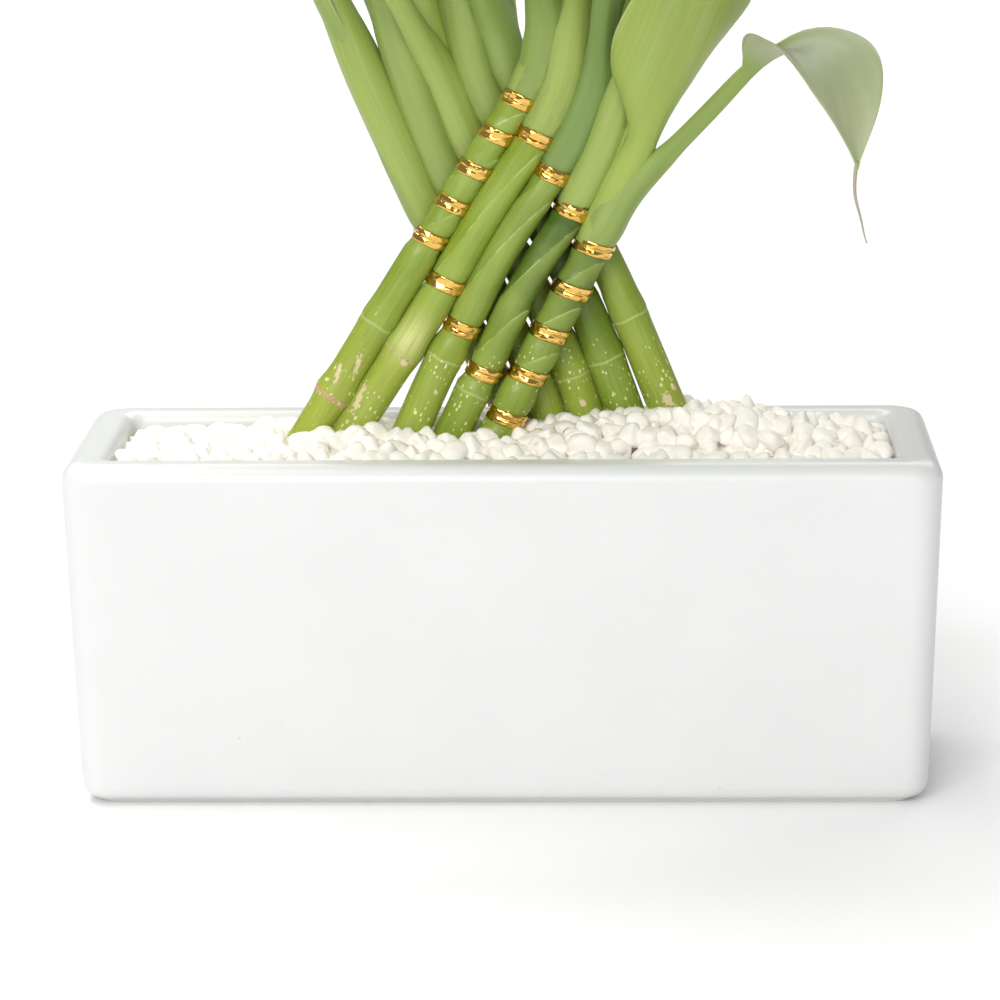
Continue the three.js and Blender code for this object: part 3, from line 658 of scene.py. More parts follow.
def leaf_blade(piece, cane, leaf, rank, tone, root_z):
    """One leaf: a sheath that clasps the stem, a channelled petiole and a thin blade with waved edges."""
    t = np.linspace(0, 1, LEAF_STEPS + 1)
    points, along, side, out = leaf_line(cane, leaf)
    stands = SHEATH_STANDS - SHEATH_RANK_STEP * rank + leaf.get("stands", 0)
    clasp = 1 - smooth((t - SHEATH_CLOSED_UNTIL) / (SHEATH_OPEN_AT - SHEATH_CLOSED_UNTIL))

    def sheath_radius(z):
        """The sheath comes out of the stem's skin a little above its root."""
        rise = smooth((z - root_z) / SHEATH_RISES_OVER)
        return cane.radius(np.minimum(z, cane.top_z - SHEATH_BELOW_TOP)) + mix(-SHEATH_SUNK, stands, rise)

    # While it clasps, the sheath keeps to the stem's own line, which the leaf leaves slowly
    heading = cane.along(leaf["z"])
    climb = leaf["z"] + np.cumsum(np.concatenate([[0], along[1:, 2]])) * leaf["length"] / LEAF_STEPS
    stem_radius = sheath_radius(climb)
    hug = (1 - smooth(t / HUG_UNTIL))[:, None]
    outward = unit(out - heading * (out @ heading)[:, None])
    on_stem = cane.at(np.minimum(climb, cane.top_z - SHEATH_BELOW_TOP)) + outward * stem_radius[:, None]
    root_depth = float(cane.radius(leaf["z"])) * LEAF_ROOT
    leaving = points + outward * ((stem_radius - root_depth) * clasp)[:, None]
    points = mix(leaving, on_stem, hug)
    along = unit(np.gradient(points, axis=0))
    side = unit(side - along * np.einsum("ij,ij->i", side, along)[:, None])
    s = np.clip((t - leaf["neck"]) / (1 - leaf["neck"]), 0, 1)
    skew = leaf.get("skew", BLADE_SKEW)
    blade = leaf["width"] / 2 * np.maximum(np.sin(np.pi * s**skew), 0) ** BLADE_POINT
    petiole_half = leaf.get("petiole", PETIOLE_HALF)
    petiole = petiole_half * (1 - PETIOLE_TAPER * smooth(t / leaf["neck"])) * (1 - s)
    half = np.maximum(np.hypot(blade, petiole), LEAF_END_HALF)
    opened = smooth((t - leaf["neck"] * OPEN_FROM) / OPEN_OVER)
    arc = np.radians(2 * mix(FOLD_PETIOLE, FOLD_BLADE, opened))
    arc = mix(arc, np.radians(SHEATH_HALF_ANGLE), clasp**CLASP_POWER)
    half = mix(half, stem_radius * arc, clasp)
    thickness = mix(mix(PETIOLE_THICKNESS, LEAF_THICKNESS, opened), LEAF_THICKNESS, clasp)
    # Below the leaf's start its sheath goes on down, round the stem, to its root
    root = np.linspace(root_z, leaf["z"], max(2, round((leaf["z"] - root_z) / SHEATH_STEP)), endpoint=False)
    lead = len(root)
    root_along = cane.along(root)
    root_outward = unit(out[:1] - root_along * (root_along @ out[0])[:, None])
    root_radius = sheath_radius(root)
    root_points = cane.at(root) + root_outward * root_radius[:, None]
    points = np.concatenate([root_points, points])
    along = np.concatenate([root_along, along])
    root_side = side[:1] - root_along * (root_along @ side[0])[:, None]
    side = np.concatenate([unit(root_side), side])
    pad = lambda values: np.concatenate([np.full(lead, values[0]), values])
    arc, thickness, opened, shares = pad(arc), pad(thickness), pad(opened), pad(t)
    half = np.concatenate([root_radius * arc[0], half])
    travelled = np.concatenate([[0], np.cumsum(np.linalg.norm(np.diff(points, axis=0), axis=1))])
    face = np.cross(along, side)
    u = np.linspace(-1, 1, LEAF_ACROSS)
    u = np.sign(u) * np.abs(u) ** ACROSS_POWER
    across = half[:, None] * u
    bow = arc[:, None] * u
    rho = (half / arc)[:, None]
    seed = cane.place * LEAF_SEED + rank * RANK_SEED
    spread = (opened * smooth((1 - shares) * TIP_FLAT_OVER))[:, None]
    waved = np.sin(shares[:, None] * MARGIN_WAVES + seed + (u > 0) * MARGIN_SHIFT)
    wave = MARGIN_WAVE * waved * np.abs(u) ** 3 * spread
    pleat = PLEAT_DEPTH * np.cos(2 * np.pi * across / PLEAT_WIDTH) * spread
    wide = np.minimum(half / WAVED_FROM, 1)[:, None]
    lift = rho * (1 - np.cos(bow)) + (wave + pleat) * wide
    sideways = side[:, None] * (rho * np.sin(bow))[..., None]
    middle = points[:, None] + sideways + face[:, None] * lift[..., None]
    normal = side[:, None] * np.sin(bow)[..., None] - face[:, None] * np.cos(bow)[..., None]
    thinned = np.sqrt(np.clip(1 - u**8, MARGIN_THINNED, 1))
    thick = thickness[:, None] * thinned * np.minimum(half / THICK_FROM, 1)[:, None]
    rib = MIDRIB_STANDS * np.exp(-(across / MIDRIB_WIDTH) ** 2)
    rib = rib * (np.minimum(half / RIB_FROM, 1) * pad(1 - clasp))[:, None]
    under = middle + normal * (thick / 2 + rib)[..., None]
    over = middle - normal * (thick / 2 - rib * MIDRIB_OVER)[..., None]
    rings = np.concatenate([under, over[:, ::-1]], 1)
    two = lambda a, b: np.concatenate([a, b[:, ::-1]], 1)
    length = travelled[:, None] + 0 * u
    margin = half[:, None] * (1 - np.abs(u))
    shift = np.full(rings.shape[:2], seed * LEAF_SHIFT)
    grown = np.stack([two(across, across), shift, two(length, length)], -1)
    facing = two(0 * across - 1, 0 * across + 1)
    along_share = two(shares[:, None] + 0 * u, shares[:, None] + 0 * u)
    bloom = leaf.get("bloom", 0) * smooth((shares - leaf["neck"]) / BLOOM_OVER)
    dry = (smooth((shares - DRY_FROM) / (1 - DRY_FROM)) - bloom)[:, None] + 0 * rings[..., 0]
    tones = np.stack([np.full(dry.shape, tone[0]), np.full(dry.shape, tone[1]), dry], -1)
    marks = np.stack([two(margin, margin), facing, along_share], -1)
    piece.tube(rings, 1, grown=grown, marks=marks, tone=tones)
    if "tail" in leaf:
        dry_tail(piece, points[-1], along[-1], leaf["tail"])


def dry_tail(piece, tip, heading, length):
    """The withered thread that hangs from a leaf's tip, with a small hook at its end."""
    t = np.linspace(0, 1, TAIL_STEPS)[:, None]
    hang = -UP * length
    middle = tip + heading * TAIL_STARTS_BACK * (np.minimum(t * TAIL_TURNS_DOWN, 1) - 1) + hang * t
    middle[:, :1] += TAIL_SWAY * np.sin(2 * np.pi * t) + TAIL_HOOK * t**5
    angle = np.arange(TAIL_SIDES) * 2 * np.pi / TAIL_SIDES
    around = np.stack([np.cos(angle), np.sin(angle), 0 * angle], -1)
    rings = middle[:, None] + around * mix(*TAIL_RADII, t)[..., None]
    piece.tube(rings, 1, grown=rings, marks=TAIL_MARKS, tone=TAIL_TONE)


# How light and how yellow each shoot's leaves are, from 0 to 1, and what taking turns adds
SHOOT_TONES = {
    "front_stalk_1": (0.3, 0.3),
    "front_stalk_2": (0.55, 0.5),
    "front_stalk_3": (0.0, 0.1),
    "front_stalk_4": (0.2, 0.3),
    "front_stalk_5": (0.4, 0.3),
    "back_stalk_1": (0.45, 0.3),
    "back_stalk_2": (0.1, 0.1),
    "back_stalk_3": (0.4, 0.7),
    "back_stalk_4": (0.1, 0.15),
    "back_stalk_5": (0.2, 0.35),
}


LEAF_TURNS = (0.3, 0.25)
BROAD_TONES = (0.85, 0.8)
DROOPING_TONES = (0.35, 0.3)


def leaf_tones(cane, leaf, rank):
    """How light and how yellow a leaf is: the leaves of a shoot take turns."""
    if leaf is BROAD:
        return BROAD_TONES
    if leaf is DROOPING:
        return DROOPING_TONES
    light, yellow = SHOOT_TONES[cane.name]
    return light + LEAF_TURNS[0] * (rank % 2), yellow + LEAF_TURNS[1] * (rank % 3)


def build_stalk(cane, finishes):
    """One stalk, grown as a whole: its cane, its shoot and its leaves."""
    piece = Piece()
    cane_skin(piece, cane)
    last_tie = cane.tie_heights()[-1 if cane.in_front else 0]
    for rank, leaf in enumerate(leaves_of(cane)):
        leaf_blade(piece, cane, leaf, rank, leaf_tones(cane, leaf, rank), last_tie)
    stalk = piece.build(cane.name.replace("stalk", "bamboo"), finishes)
    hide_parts(cane.name)
    return stalk


# Planter


def pot_ring(half_x, half_y, inset, z):
    """One level round the planter: a rectangle with rounded corners."""
    radius = max(CORNER_RADIUS - CORNER_TIGHTENING * inset, CORNER_RADIUS_LEAST)
    x, y = half_x - inset, half_y - inset
    corners = []
    for k, (sx, sy) in enumerate(((1, -1), (1, 1), (-1, 1), (-1, -1))):
        angles = np.radians(-90 + 90 * k + np.linspace(0, 90, CORNER_STEPS + 1))
        centre = np.array([sx * (x - radius), sy * (y - radius)])
        corners.append(centre + radius * np.stack([np.cos(angles), np.sin(angles)], -1))
    ring = []
    for k in range(4):
        ring.append(corners[k])
        steps = SHORT_STEPS if k % 2 == 0 else LONG_STEPS
        start, end = corners[k][-1], corners[(k + 1) % 4][0]
        shares = np.linspace(0, 1, steps + 1)[1:-1, None]
        ring.append(start + (end - start) * shares)
    ring = np.concatenate(ring)
    return np.concatenate([ring, np.full((len(ring), 1), z)], 1)


def pot_profile(height, wall):
    """The wall as (inset, z), from the middle of its underside, over the rim, to its inner floor."""
    draft = lambda z: DRAFT * (1 - z / height)
    quarter = np.radians(np.linspace(0, 90, EDGE_STEPS + 1))
    foot = FOOT_INSET + DRAFT
    profile = [(foot + FOOT_RING + step, z) for step, z in FOOT_INSIDE]
    profile += [(foot + step, z) for step, z in FOOT_OUTSIDE]
    for a in quarter:
        undercut = BASE_RADIUS * (1 - np.sin(a)) * BASE_UNDERCUT
        profile.append((draft(FOOT_HEIGHT) + undercut, FOOT_HEIGHT + BASE_RADIUS * (1 - np.cos(a))))
    low, high = FOOT_HEIGHT + BASE_RADIUS, height - RIM_RADIUS
    profile += [(draft(z), z) for z in np.linspace(low, high, WALL_STEPS)[1:-1]]
    for a in quarter:
        inset = draft(high) + RIM_RADIUS * (1 - np.cos(a)) - draft(high) * a / quarter[-1]
        profile.append((inset, height - RIM_RADIUS * (1 - np.sin(a))))
    for a in quarter:
        profile.append((wall - LIP_RADIUS * (1 - np.sin(a)), height - LIP_RADIUS * (1 - np.cos(a))))
    floor_top = FLOOR_THICKNESS + FLOOR_FILLET
    profile += [(wall + draft(z), z) for z in np.linspace(height - LIP_RADIUS, floor_top, INSIDE_STEPS)[1:]]
    for a in quarter[1:]:
        inset = wall + draft(floor_top) + FLOOR_FILLET * (1 - np.cos(a))
        profile.append((inset, floor_top - FLOOR_FILLET * np.sin(a)))
    return profile + [(wall + DRAFT + FLOOR_FILLET + 10, FLOOR_THICKNESS)]


def build_pot(settings, glaze):
    """The planter: rings up its outside, over the rim and down to its inner floor."""
    half_x, half_y = settings.length / MM / 2, settings.depth / MM / 2
    height, wall = settings.height / MM, settings.wall / MM
    rings = np.array([pot_ring(half_x, half_y, inset, z) for inset, z in pot_profile(height, wall)])
    x, y, z = rings[..., 0], rings[..., 1], rings[..., 2]
    # Slip cast walls are never quite flat: they draw in a little between the edges
    on_wall = smooth((z - DRAWN_FROM[0]) / DRAWN_FROM[1]) * smooth((height - DRAWN_TO[0] - z) / DRAWN_TO[1])
    front = on_wall * np.cos(np.clip(x / half_x, -1, 1) * np.pi / 2) ** 0.5
    along, up = (np.sin(way / run + start) for way, (run, start) in zip((x, z), DRAWN_WAVES))
    draw_in = WALL_DRAWS_IN * front * (DRAWN_EVENLY + DRAWN_UNEVENLY * along * up)
    outside = np.abs(y) > half_y - wall / 2
    y -= np.sign(y) * draw_in * outside
    piece = Piece()
    piece.tube(rings)
    pot = piece.build("glazed_planter", [glaze])
    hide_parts("pot")
    return pot


# Gravel

CHIP_PLANES = 10
CHIP_REACH = (0.66, 1.0)
CHIP_ROUNDING = 38
CHIP_LONGEST = 1.25
CHIP_FLOOR = 1e-9
MARBLE_REACH = 400
CHIP_STRETCH = ((0.85, 1.2), (0.75, 1.0), (0.6, 0.85))
CHIP_SIZES = (0.86, 1.16)
CHIP_PITCH = 0.76
CHIP_SCATTER = 0.28
CHIP_SINKS = 1.1
ROW_PITCH = 0.9
# Shares of a chip's half width that stay clear of canes and walls: where it is moved to, and at the least
CHIP_CLEARANCE = 0.88
LEAST_CLEARANCE = 0.6
LEAST_GAP = 0.1
# Layers of chips: depth below the heap's top, divisions of each chip's ball, and what is added to the seed
CHIP_LAYERS = {
    "marble_chips_deep": (8.4, 2, 3),
    "marble_chips_low": (6.2, 2, 0),
    "marble_chips_mid": (4.6, 2, 2),
    "marble_chips_top": (3.2, 3, 1),
}
# Tops of the chips along the middle of the planter: heaped round the canes and to their right
HEAP_X = (-106, -80, -62, -20, 0, 14, 30, 48, 65, 82, 106)
HEAP_TOPS = (92.5, 94.5, 98.5, 99, 98, 99.5, 102, 103.5, 104, 101, 96)
HEAP_FRONT = 94.5
HEAP_FRONT_OVER = 14.0
HEAP_BACK = 92.0
HEAP_BACK_OVER = 27.0
INNER_HALF_X = 105.5
INNER_HALF_Y = 28.5


def bed_level(x, y):
    """The solid's own level of gravel between its larger stones."""
    share = (x + BED_HALF_LENGTH) / (2 * BED_HALF_LENGTH)
    mound = np.exp(-((x - MOUND_X) / MOUND_SPREAD) ** 2 - ((y - MOUND_Y) / MOUND_SPREAD) ** 2)
    return mix(BED_LEVEL_LEFT, BED_LEVEL_RIGHT, smooth(share * LEVEL_RISE)) + MOUND_HEIGHT * mound


def heap_top(x, y):
    """Tops of the chips: the heap, running down to the planter's two long walls."""
    ridge = np.interp(x, HEAP_X, HEAP_TOPS)
    front = smooth((y + INNER_HALF_Y) / HEAP_FRONT_OVER)
    back = smooth((INNER_HALF_Y - y) / HEAP_BACK_OVER)
    wall = HEAP_FRONT if y < 0 else HEAP_BACK
    return mix(min(ridge, wall), ridge, front * back)


def unit_ball(cuts):
    """Corners and triangles of an evenly divided ball."""
    mesh = bpy.data.meshes.new("ball")
    shape = bmesh.new()
    bmesh.ops.create_icosphere(shape, subdivisions=cuts, radius=1)
    shape.to_mesh(mesh)
    shape.free()
    points = np.array([v.co for v in mesh.vertices])
    faces = np.array([tuple(p.vertices) for p in mesh.polygons])
    bpy.data.meshes.remove(mesh)
    return points, faces


def chip_places(pitch, depth, draw):
    """Middles of one layer of chips, in scattered rows that follow the heap."""
    places = []
    count_x = int(2 * INNER_HALF_X / pitch)
    count_y = int(2 * INNER_HALF_Y / (pitch * ROW_PITCH))
    for row in range(count_y):
        for column in range(count_x):
            x = -INNER_HALF_X + (column + 0.5 + 0.5 * (row % 2)) * 2 * INNER_HALF_X / (count_x + 0.5)
            y = -INNER_HALF_Y + (row + 0.5) * 2 * INNER_HALF_Y / count_y
            x += draw.uniform(-CHIP_SCATTER, CHIP_SCATTER) * pitch
            y += draw.uniform(-CHIP_SCATTER, CHIP_SCATTER) * pitch
            places.append((x, y, heap_top(x, y) - depth + draw.uniform(-CHIP_SINKS, CHIP_SINKS)))
    return np.array(places)


def build_chips(name, settings, marble):
    """One layer of marble chips, clear of walls and canes: balls cut by random planes with softened edges."""
    depth, cuts, seed_step = CHIP_LAYERS[name]
    draw = np.random.default_rng(settings.seed + seed_step)
    size = settings.chip_size / MM
    ball, triangles = unit_ball(cuts)
    piece = Piece()
    for place in chip_places(size * CHIP_PITCH, depth, draw):
        planes = unit(draw.normal(size=(CHIP_PLANES, 3)))
        reach = draw.uniform(*CHIP_REACH, CHIP_PLANES)
        towards = np.maximum(ball @ planes.T, 0) / reach
        radius = np.power(np.power(towards, CHIP_ROUNDING).sum(1) + CHIP_FLOOR, -1 / CHIP_ROUNDING)
        stretch = np.array([draw.uniform(*span) for span in CHIP_STRETCH])
        turn, _ = np.linalg.qr(draw.normal(size=(3, 3)))
        body = (ball * np.minimum(radius, CHIP_LONGEST)[:, None] * stretch) @ turn.T
        half = size / 2 * draw.uniform(*CHIP_SIZES)
        reach_half = half * CHIP_CLEARANCE
        x, y, z = place
        x = np.clip(x, -INNER_HALF_X + reach_half, INNER_HALF_X - reach_half)
        y = np.clip(y, -INNER_HALF_Y + reach_half, INNER_HALF_Y - reach_half)
        for cane in ALL_CANES:
            axis = cane.at(z)
            apart = np.array([x - axis[0], y - axis[1]])
            gap = np.hypot(*apart)
            least = float(cane.radius(z)) + reach_half
            if gap < least:
                x, y = axis[:2] + apart / max(gap, LEAST_GAP) * least
        margin = half * LEAST_CLEARANCE
        if abs(x) > INNER_HALF_X - margin or abs(y) > INNER_HALF_Y - margin:
            continue
        centre = np.array([x, y, z])
        tone = draw.uniform(0, 1)
        shade = np.broadcast_to([tone, draw.uniform(0, 1), 0.0], body.shape)
        body = body * half
        piece.add(body + centre, [triangles], grown=body + draw.uniform(0, MARBLE_REACH, 3), tone=shade)
    chips = piece.build(name, [marble])
    return chips


def build_bed(marble):
    """What lies under the chips: the solid's own bed, cut level a little above where its stones start."""
    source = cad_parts["gravel"]
    bed = bpy.data.objects.new("gravel_bed", source.data.copy())
    bpy.context.scene.collection.objects.link(bed)
    x, y = np.meshgrid(np.linspace(*KNIFE_X), np.linspace(*KNIFE_Y), indexing="ij")
    top = np.stack([x, y, bed_level(x, y) + BED_PACKED_UP], -1)
    bottom = np.stack([x, y, 0 * x + KNIFE_Z], -1)
    cutter = Piece()
    cutter.tube(np.concatenate([top, bottom[:, ::-1]], 1))
    knife = cutter.build("knife", [])
    trim = bed.modifiers.new("trim", "BOOLEAN")
    trim.operation = "INTERSECT"
    trim.solver = "EXACT"
    trim.object = knife
    evaluated = bed.evaluated_get(bpy.context.evaluated_depsgraph_get())
    trimmed = bpy.data.meshes.new_from_object(evaluated)
    bed.modifiers.clear()
    bed.data = trimmed
    bpy.data.objects.remove(knife)
    bed.data.materials.clear()
    bed.data.materials.append(marble)
    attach(bed, "root")
    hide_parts("gravel")
    return bed


# Gold foil ties

TIE_TILT = 7
TIE_WAIST = 0.14
TIE_ARC_STEPS = 26
TIE_GAP = 0.06
# Middles of the two turns, each side of the band's own, and how far a turn bulges
TURN_APART = 1.03
TURN_CROWN = 0.3
FOIL_ACROSS = 17
CRINKLE_EVERY = 2.0
CRINKLE_TILT = 0.2
CRINKLE_RISE = 0.1
CRINKLE_SEED = 700
CROSSING_SHARES = (0.25, 0.5, 0.75)
CROSSING_NARROWS = 0.35
WAIST_POWER = 1.2
UNDERSIDE = (1, 0.5, 0, -0.5, -1)
# Where the creases are drawn: millimetres per step across the band, and the most that a band is shifted
FOIL_PATTERN_STEP = 0.24
FOIL_PATTERN_SHIFT = 90


def tie_stops(front, back):
    """The band's inner line round both canes: foot, direction along the cane, direction outwards, width."""
    x, z = crossing(front.index, back.index)
    z -= TIE_DROP
    middle = np.array([x, 0, z])
    arcs = []
    for cane in (front, back):
        along = cane.along(z)
        right = np.array([along[2], 0, -along[0]])
        outwards = np.array([0, -1.0 if cane.in_front else 1.0, 0])
        turn = 1 if cane.in_front else -1
        tilt = np.tan(np.radians(turn * TIE_TILT))
        inner = float(cane.radius(z)) + TIE_GAP
        arc = []
        for angle in np.linspace(0, np.pi, TIE_ARC_STEPS + 1):
            sideways = np.cos(angle) * turn
            radial = right * sideways + outwards * np.sin(angle)
            axis = np.array([x, cane.layer_y, z])
            foot = axis + radial * inner + along * inner * sideways * tilt
            arc.append((foot, along, radial, 1.0))
        arcs.append(arc)
    stops = []
    for one, other in ((arcs[0], arcs[1]), (arcs[1], arcs[0])):
        stops += one
        a, b = one[-1], other[0]
        pulled = mix((a[0] + b[0]) / 2, middle, TIE_WAIST)
        for share in CROSSING_SHARES:
            straight = mix(a[0], b[0], share)
            foot = mix(straight, pulled, np.sin(np.pi * share) ** WAIST_POWER)
            width = 1 - CROSSING_NARROWS * np.sin(np.pi * share)
            stops.append((foot, unit(mix(a[1], b[1], share)), unit(mix(a[2], b[2], share)), width))
    return stops


def build_tie(front, back, settings, foil):
    """Two turns of crinkled foil side by side, bound round one front and one back cane."""
    draw = np.random.default_rng(CRINKLE_SEED + front.index * CANES + back.index)
    stops = tie_stops(front, back)
    half = settings.foil_width / MM / 2
    thick = settings.foil_thickness / MM
    feet = np.array([s[0] for s in stops])
    travelled = np.concatenate([[0], np.cumsum(np.linalg.norm(np.diff(feet, axis=0), axis=1))])
    total = travelled[-1] + np.linalg.norm(feet[0] - feet[-1])
    knots = int(total / CRINKLE_EVERY)
    at = travelled / total * knots
    low = at.astype(int) % knots
    share = smooth(at - at.astype(int))

    def crinkle(size):
        values = draw.uniform(-size, size, knots)
        return mix(values[low], values[(low + 1) % knots], share)

    tilts = [crinkle(CRINKLE_TILT), crinkle(CRINKLE_TILT)]
    rises = [crinkle(CRINKLE_RISE), crinkle(CRINKLE_RISE)]
    across = np.linspace(-1, 1, FOIL_ACROSS)
    rings = []
    for k, (foot, along, radial, width) in enumerate(stops):
        upper = []
        for a in across:
            s = a * half
            which = 0 if s < 0 else 1
            from_turn = abs(s) - TURN_APART
            crown = np.sqrt(max(0.0, 1 - (from_turn / (half - TURN_APART)) ** 2))
            height = thick + crown * (TURN_CROWN + tilts[which][k] * from_turn + rises[which][k])
            upper.append(foot + along * s * width + radial * height)
        lower = [foot + along * a * half * width for a in UNDERSIDE]
        rings.append(upper + lower)
    piece = Piece()
    rings = np.array(rings)
    flat = 0 * rings[..., 0]
    steps = np.arange(rings.shape[1])[None, :] * FOIL_PATTERN_STEP
    shift = draw.uniform(0, FOIL_PATTERN_SHIFT)
    grown = np.stack([travelled[:, None] + flat, steps + flat, flat + shift], -1)
    piece.tube(rings, closed=True, grown=grown)
    name = f"gold_tie_{front.index + 1}_{back.index + 1}"
    tie = piece.build(name, [foil])
    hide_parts(f"tie_{front.index + 1}_{back.index + 1}")
    return tie


def tied_pairs():
    """The crossings round the lattice's edge."""
    canes = {(c.in_front, c.index): c for c in ALL_CANES}
    last = CANES - 1
    for f in range(CANES):
        for b in range(CANES):
            if f in (0, last) or b in (0, last):
                yield canes[(True, f)], canes[(False, b)]


# Finishes

# Scales of patterns are waves or cells per millimetre, and distances of bumps are in metres. Sockets whose
# names repeat go by number: 1 to 4 of MapRange are the low and high that it maps from, then to, and 0, 6 and
# 7 of Mix are the share and the two colours.
RGBA = {"data_type": "RGBA"}
AS_IT_IS = (0, 1, 0, 1)


def add_node(tree, kind, settings, out=0):
    """Adds a node with its options, values, sRGB colours and links, and returns one of its outputs."""
    node = tree.nodes.new("ShaderNode" + kind)
    for key, value in settings.items():
        if isinstance(value, str) and value.startswith("#"):
            value = linear(value)
        if isinstance(key, str) and key in node.bl_rna.properties:
            setattr(node, key, value)
        elif isinstance(value, bpy.types.NodeSocket):
            tree.links.new(value, node.inputs[key])
        else:
            node.inputs[key].default_value = value
    return node.outputs[out] if node.outputs else None


def lay_colours(add, base, layers):
    """Lays colours over a base. Each has a value, the span that it is mapped by, and the colour."""
    for value, span, colour in layers:
        share = add("MapRange", {"Value": value, **dict(enumerate(span, 1))})
        base = add("Mix", {**RGBA, 0: share, 6: base, 7: colour}, 2)
    return base


def new_finish(name, surface, settings):
    """A material whose one shader has the sockets that the surface gives, straight to its output."""
    finish = bpy.data.materials.new(name)
    finish.use_nodes = True
    finish.node_tree.nodes.clear()
    add = partial(add_node, finish.node_tree)
    add("OutputMaterial", {"Surface": add("BsdfPrincipled", surface(add, settings))})
    return finish


def glazed_ceramic(add, settings):
    # Stoneware, slip cast and dipped in white glaze: a broad soft gloss over an orange peel 6 mm wide, a
    # few pinholes about half a millimetre wide, and a matt biscuit foot where the glaze was wiped away.
    place = add("TexCoord", {}, "Object")
    mm = add("Mapping", {"Vector": place, "Scale": (1000, 1000, 1000)})
    height = add("SeparateXYZ", {"Vector": mm}, "Z")
    pooled = add("TexNoise", {"Vector": mm, "Scale": 0.03, "Detail": 2})
    cells = add("TexVoronoi", {"Vector": mm, "Scale": 0.06})
    hole = add("MapRange", {"Value": cells, 1: 0.01, 2: 0.032, 3: 0.35, 4: 0})
    foot = add("MapRange", {"Value": height, 1: 0.9, 2: 1.2, 3: 1, 4: 0})
    base = lay_colours(add, settings.glaze, (
        (pooled, AS_IT_IS, "#dfe0df"),
        (hole, AS_IT_IS, "#a9a49a"),
        (foot, AS_IT_IS, "#e3e0da"),
    ))
    rough = add("MapRange", {"Value": foot, 3: 0.32, 4: 0.8})
    peel = add("TexNoise", {"Vector": mm, "Scale": 0.16, "Detail": 3})
    bump = add("Bump", {"Height": peel, "Strength": 0.5, "Distance": 0.00012})
    pit = {"Height": hole, "invert": True, "Strength": 0.6, "Distance": 0.0003, "Normal": bump}
    pits = add("Bump", pit)
    return {"Base Color": base, "Roughness": rough, "IOR": 1.52, "Normal": pits}


def tumbled_marble(add, settings):
    # White marble, crushed and tumbled: bright and matt, with a sugary grain 0.6 mm wide on its soft edges,
    # cloudy over 4 to 5 mm, and chips that differ slightly in warmth.
    mm = add("Attribute", {"attribute_name": "grown"}, "Vector")
    tone = add("Attribute", {"attribute_name": "tone"}, "Vector")
    warmth = add("SeparateXYZ", {"Vector": tone}, "X")
    cloud = add("TexNoise", {"Vector": mm, "Scale": 0.22, "Detail": 4, "Roughness": 0.6})
    base = lay_colours(add, settings.marble, (
        (warmth, AS_IT_IS, "#faf6ee"),
        (cloud, (0.52, 0.8, 0, 0.6), "#f5efe4"),
    ))
    grain = add("TexNoise", {"Vector": mm, "Scale": 1.6, "Detail": 5, "Roughness": 0.7})
    bump = add("Bump", {"Height": grain, "Strength": 0.6, "Distance": 0.0002})
    return {"Base Color": base, "Roughness": 0.6, "IOR": 1.5, "Normal": bump}


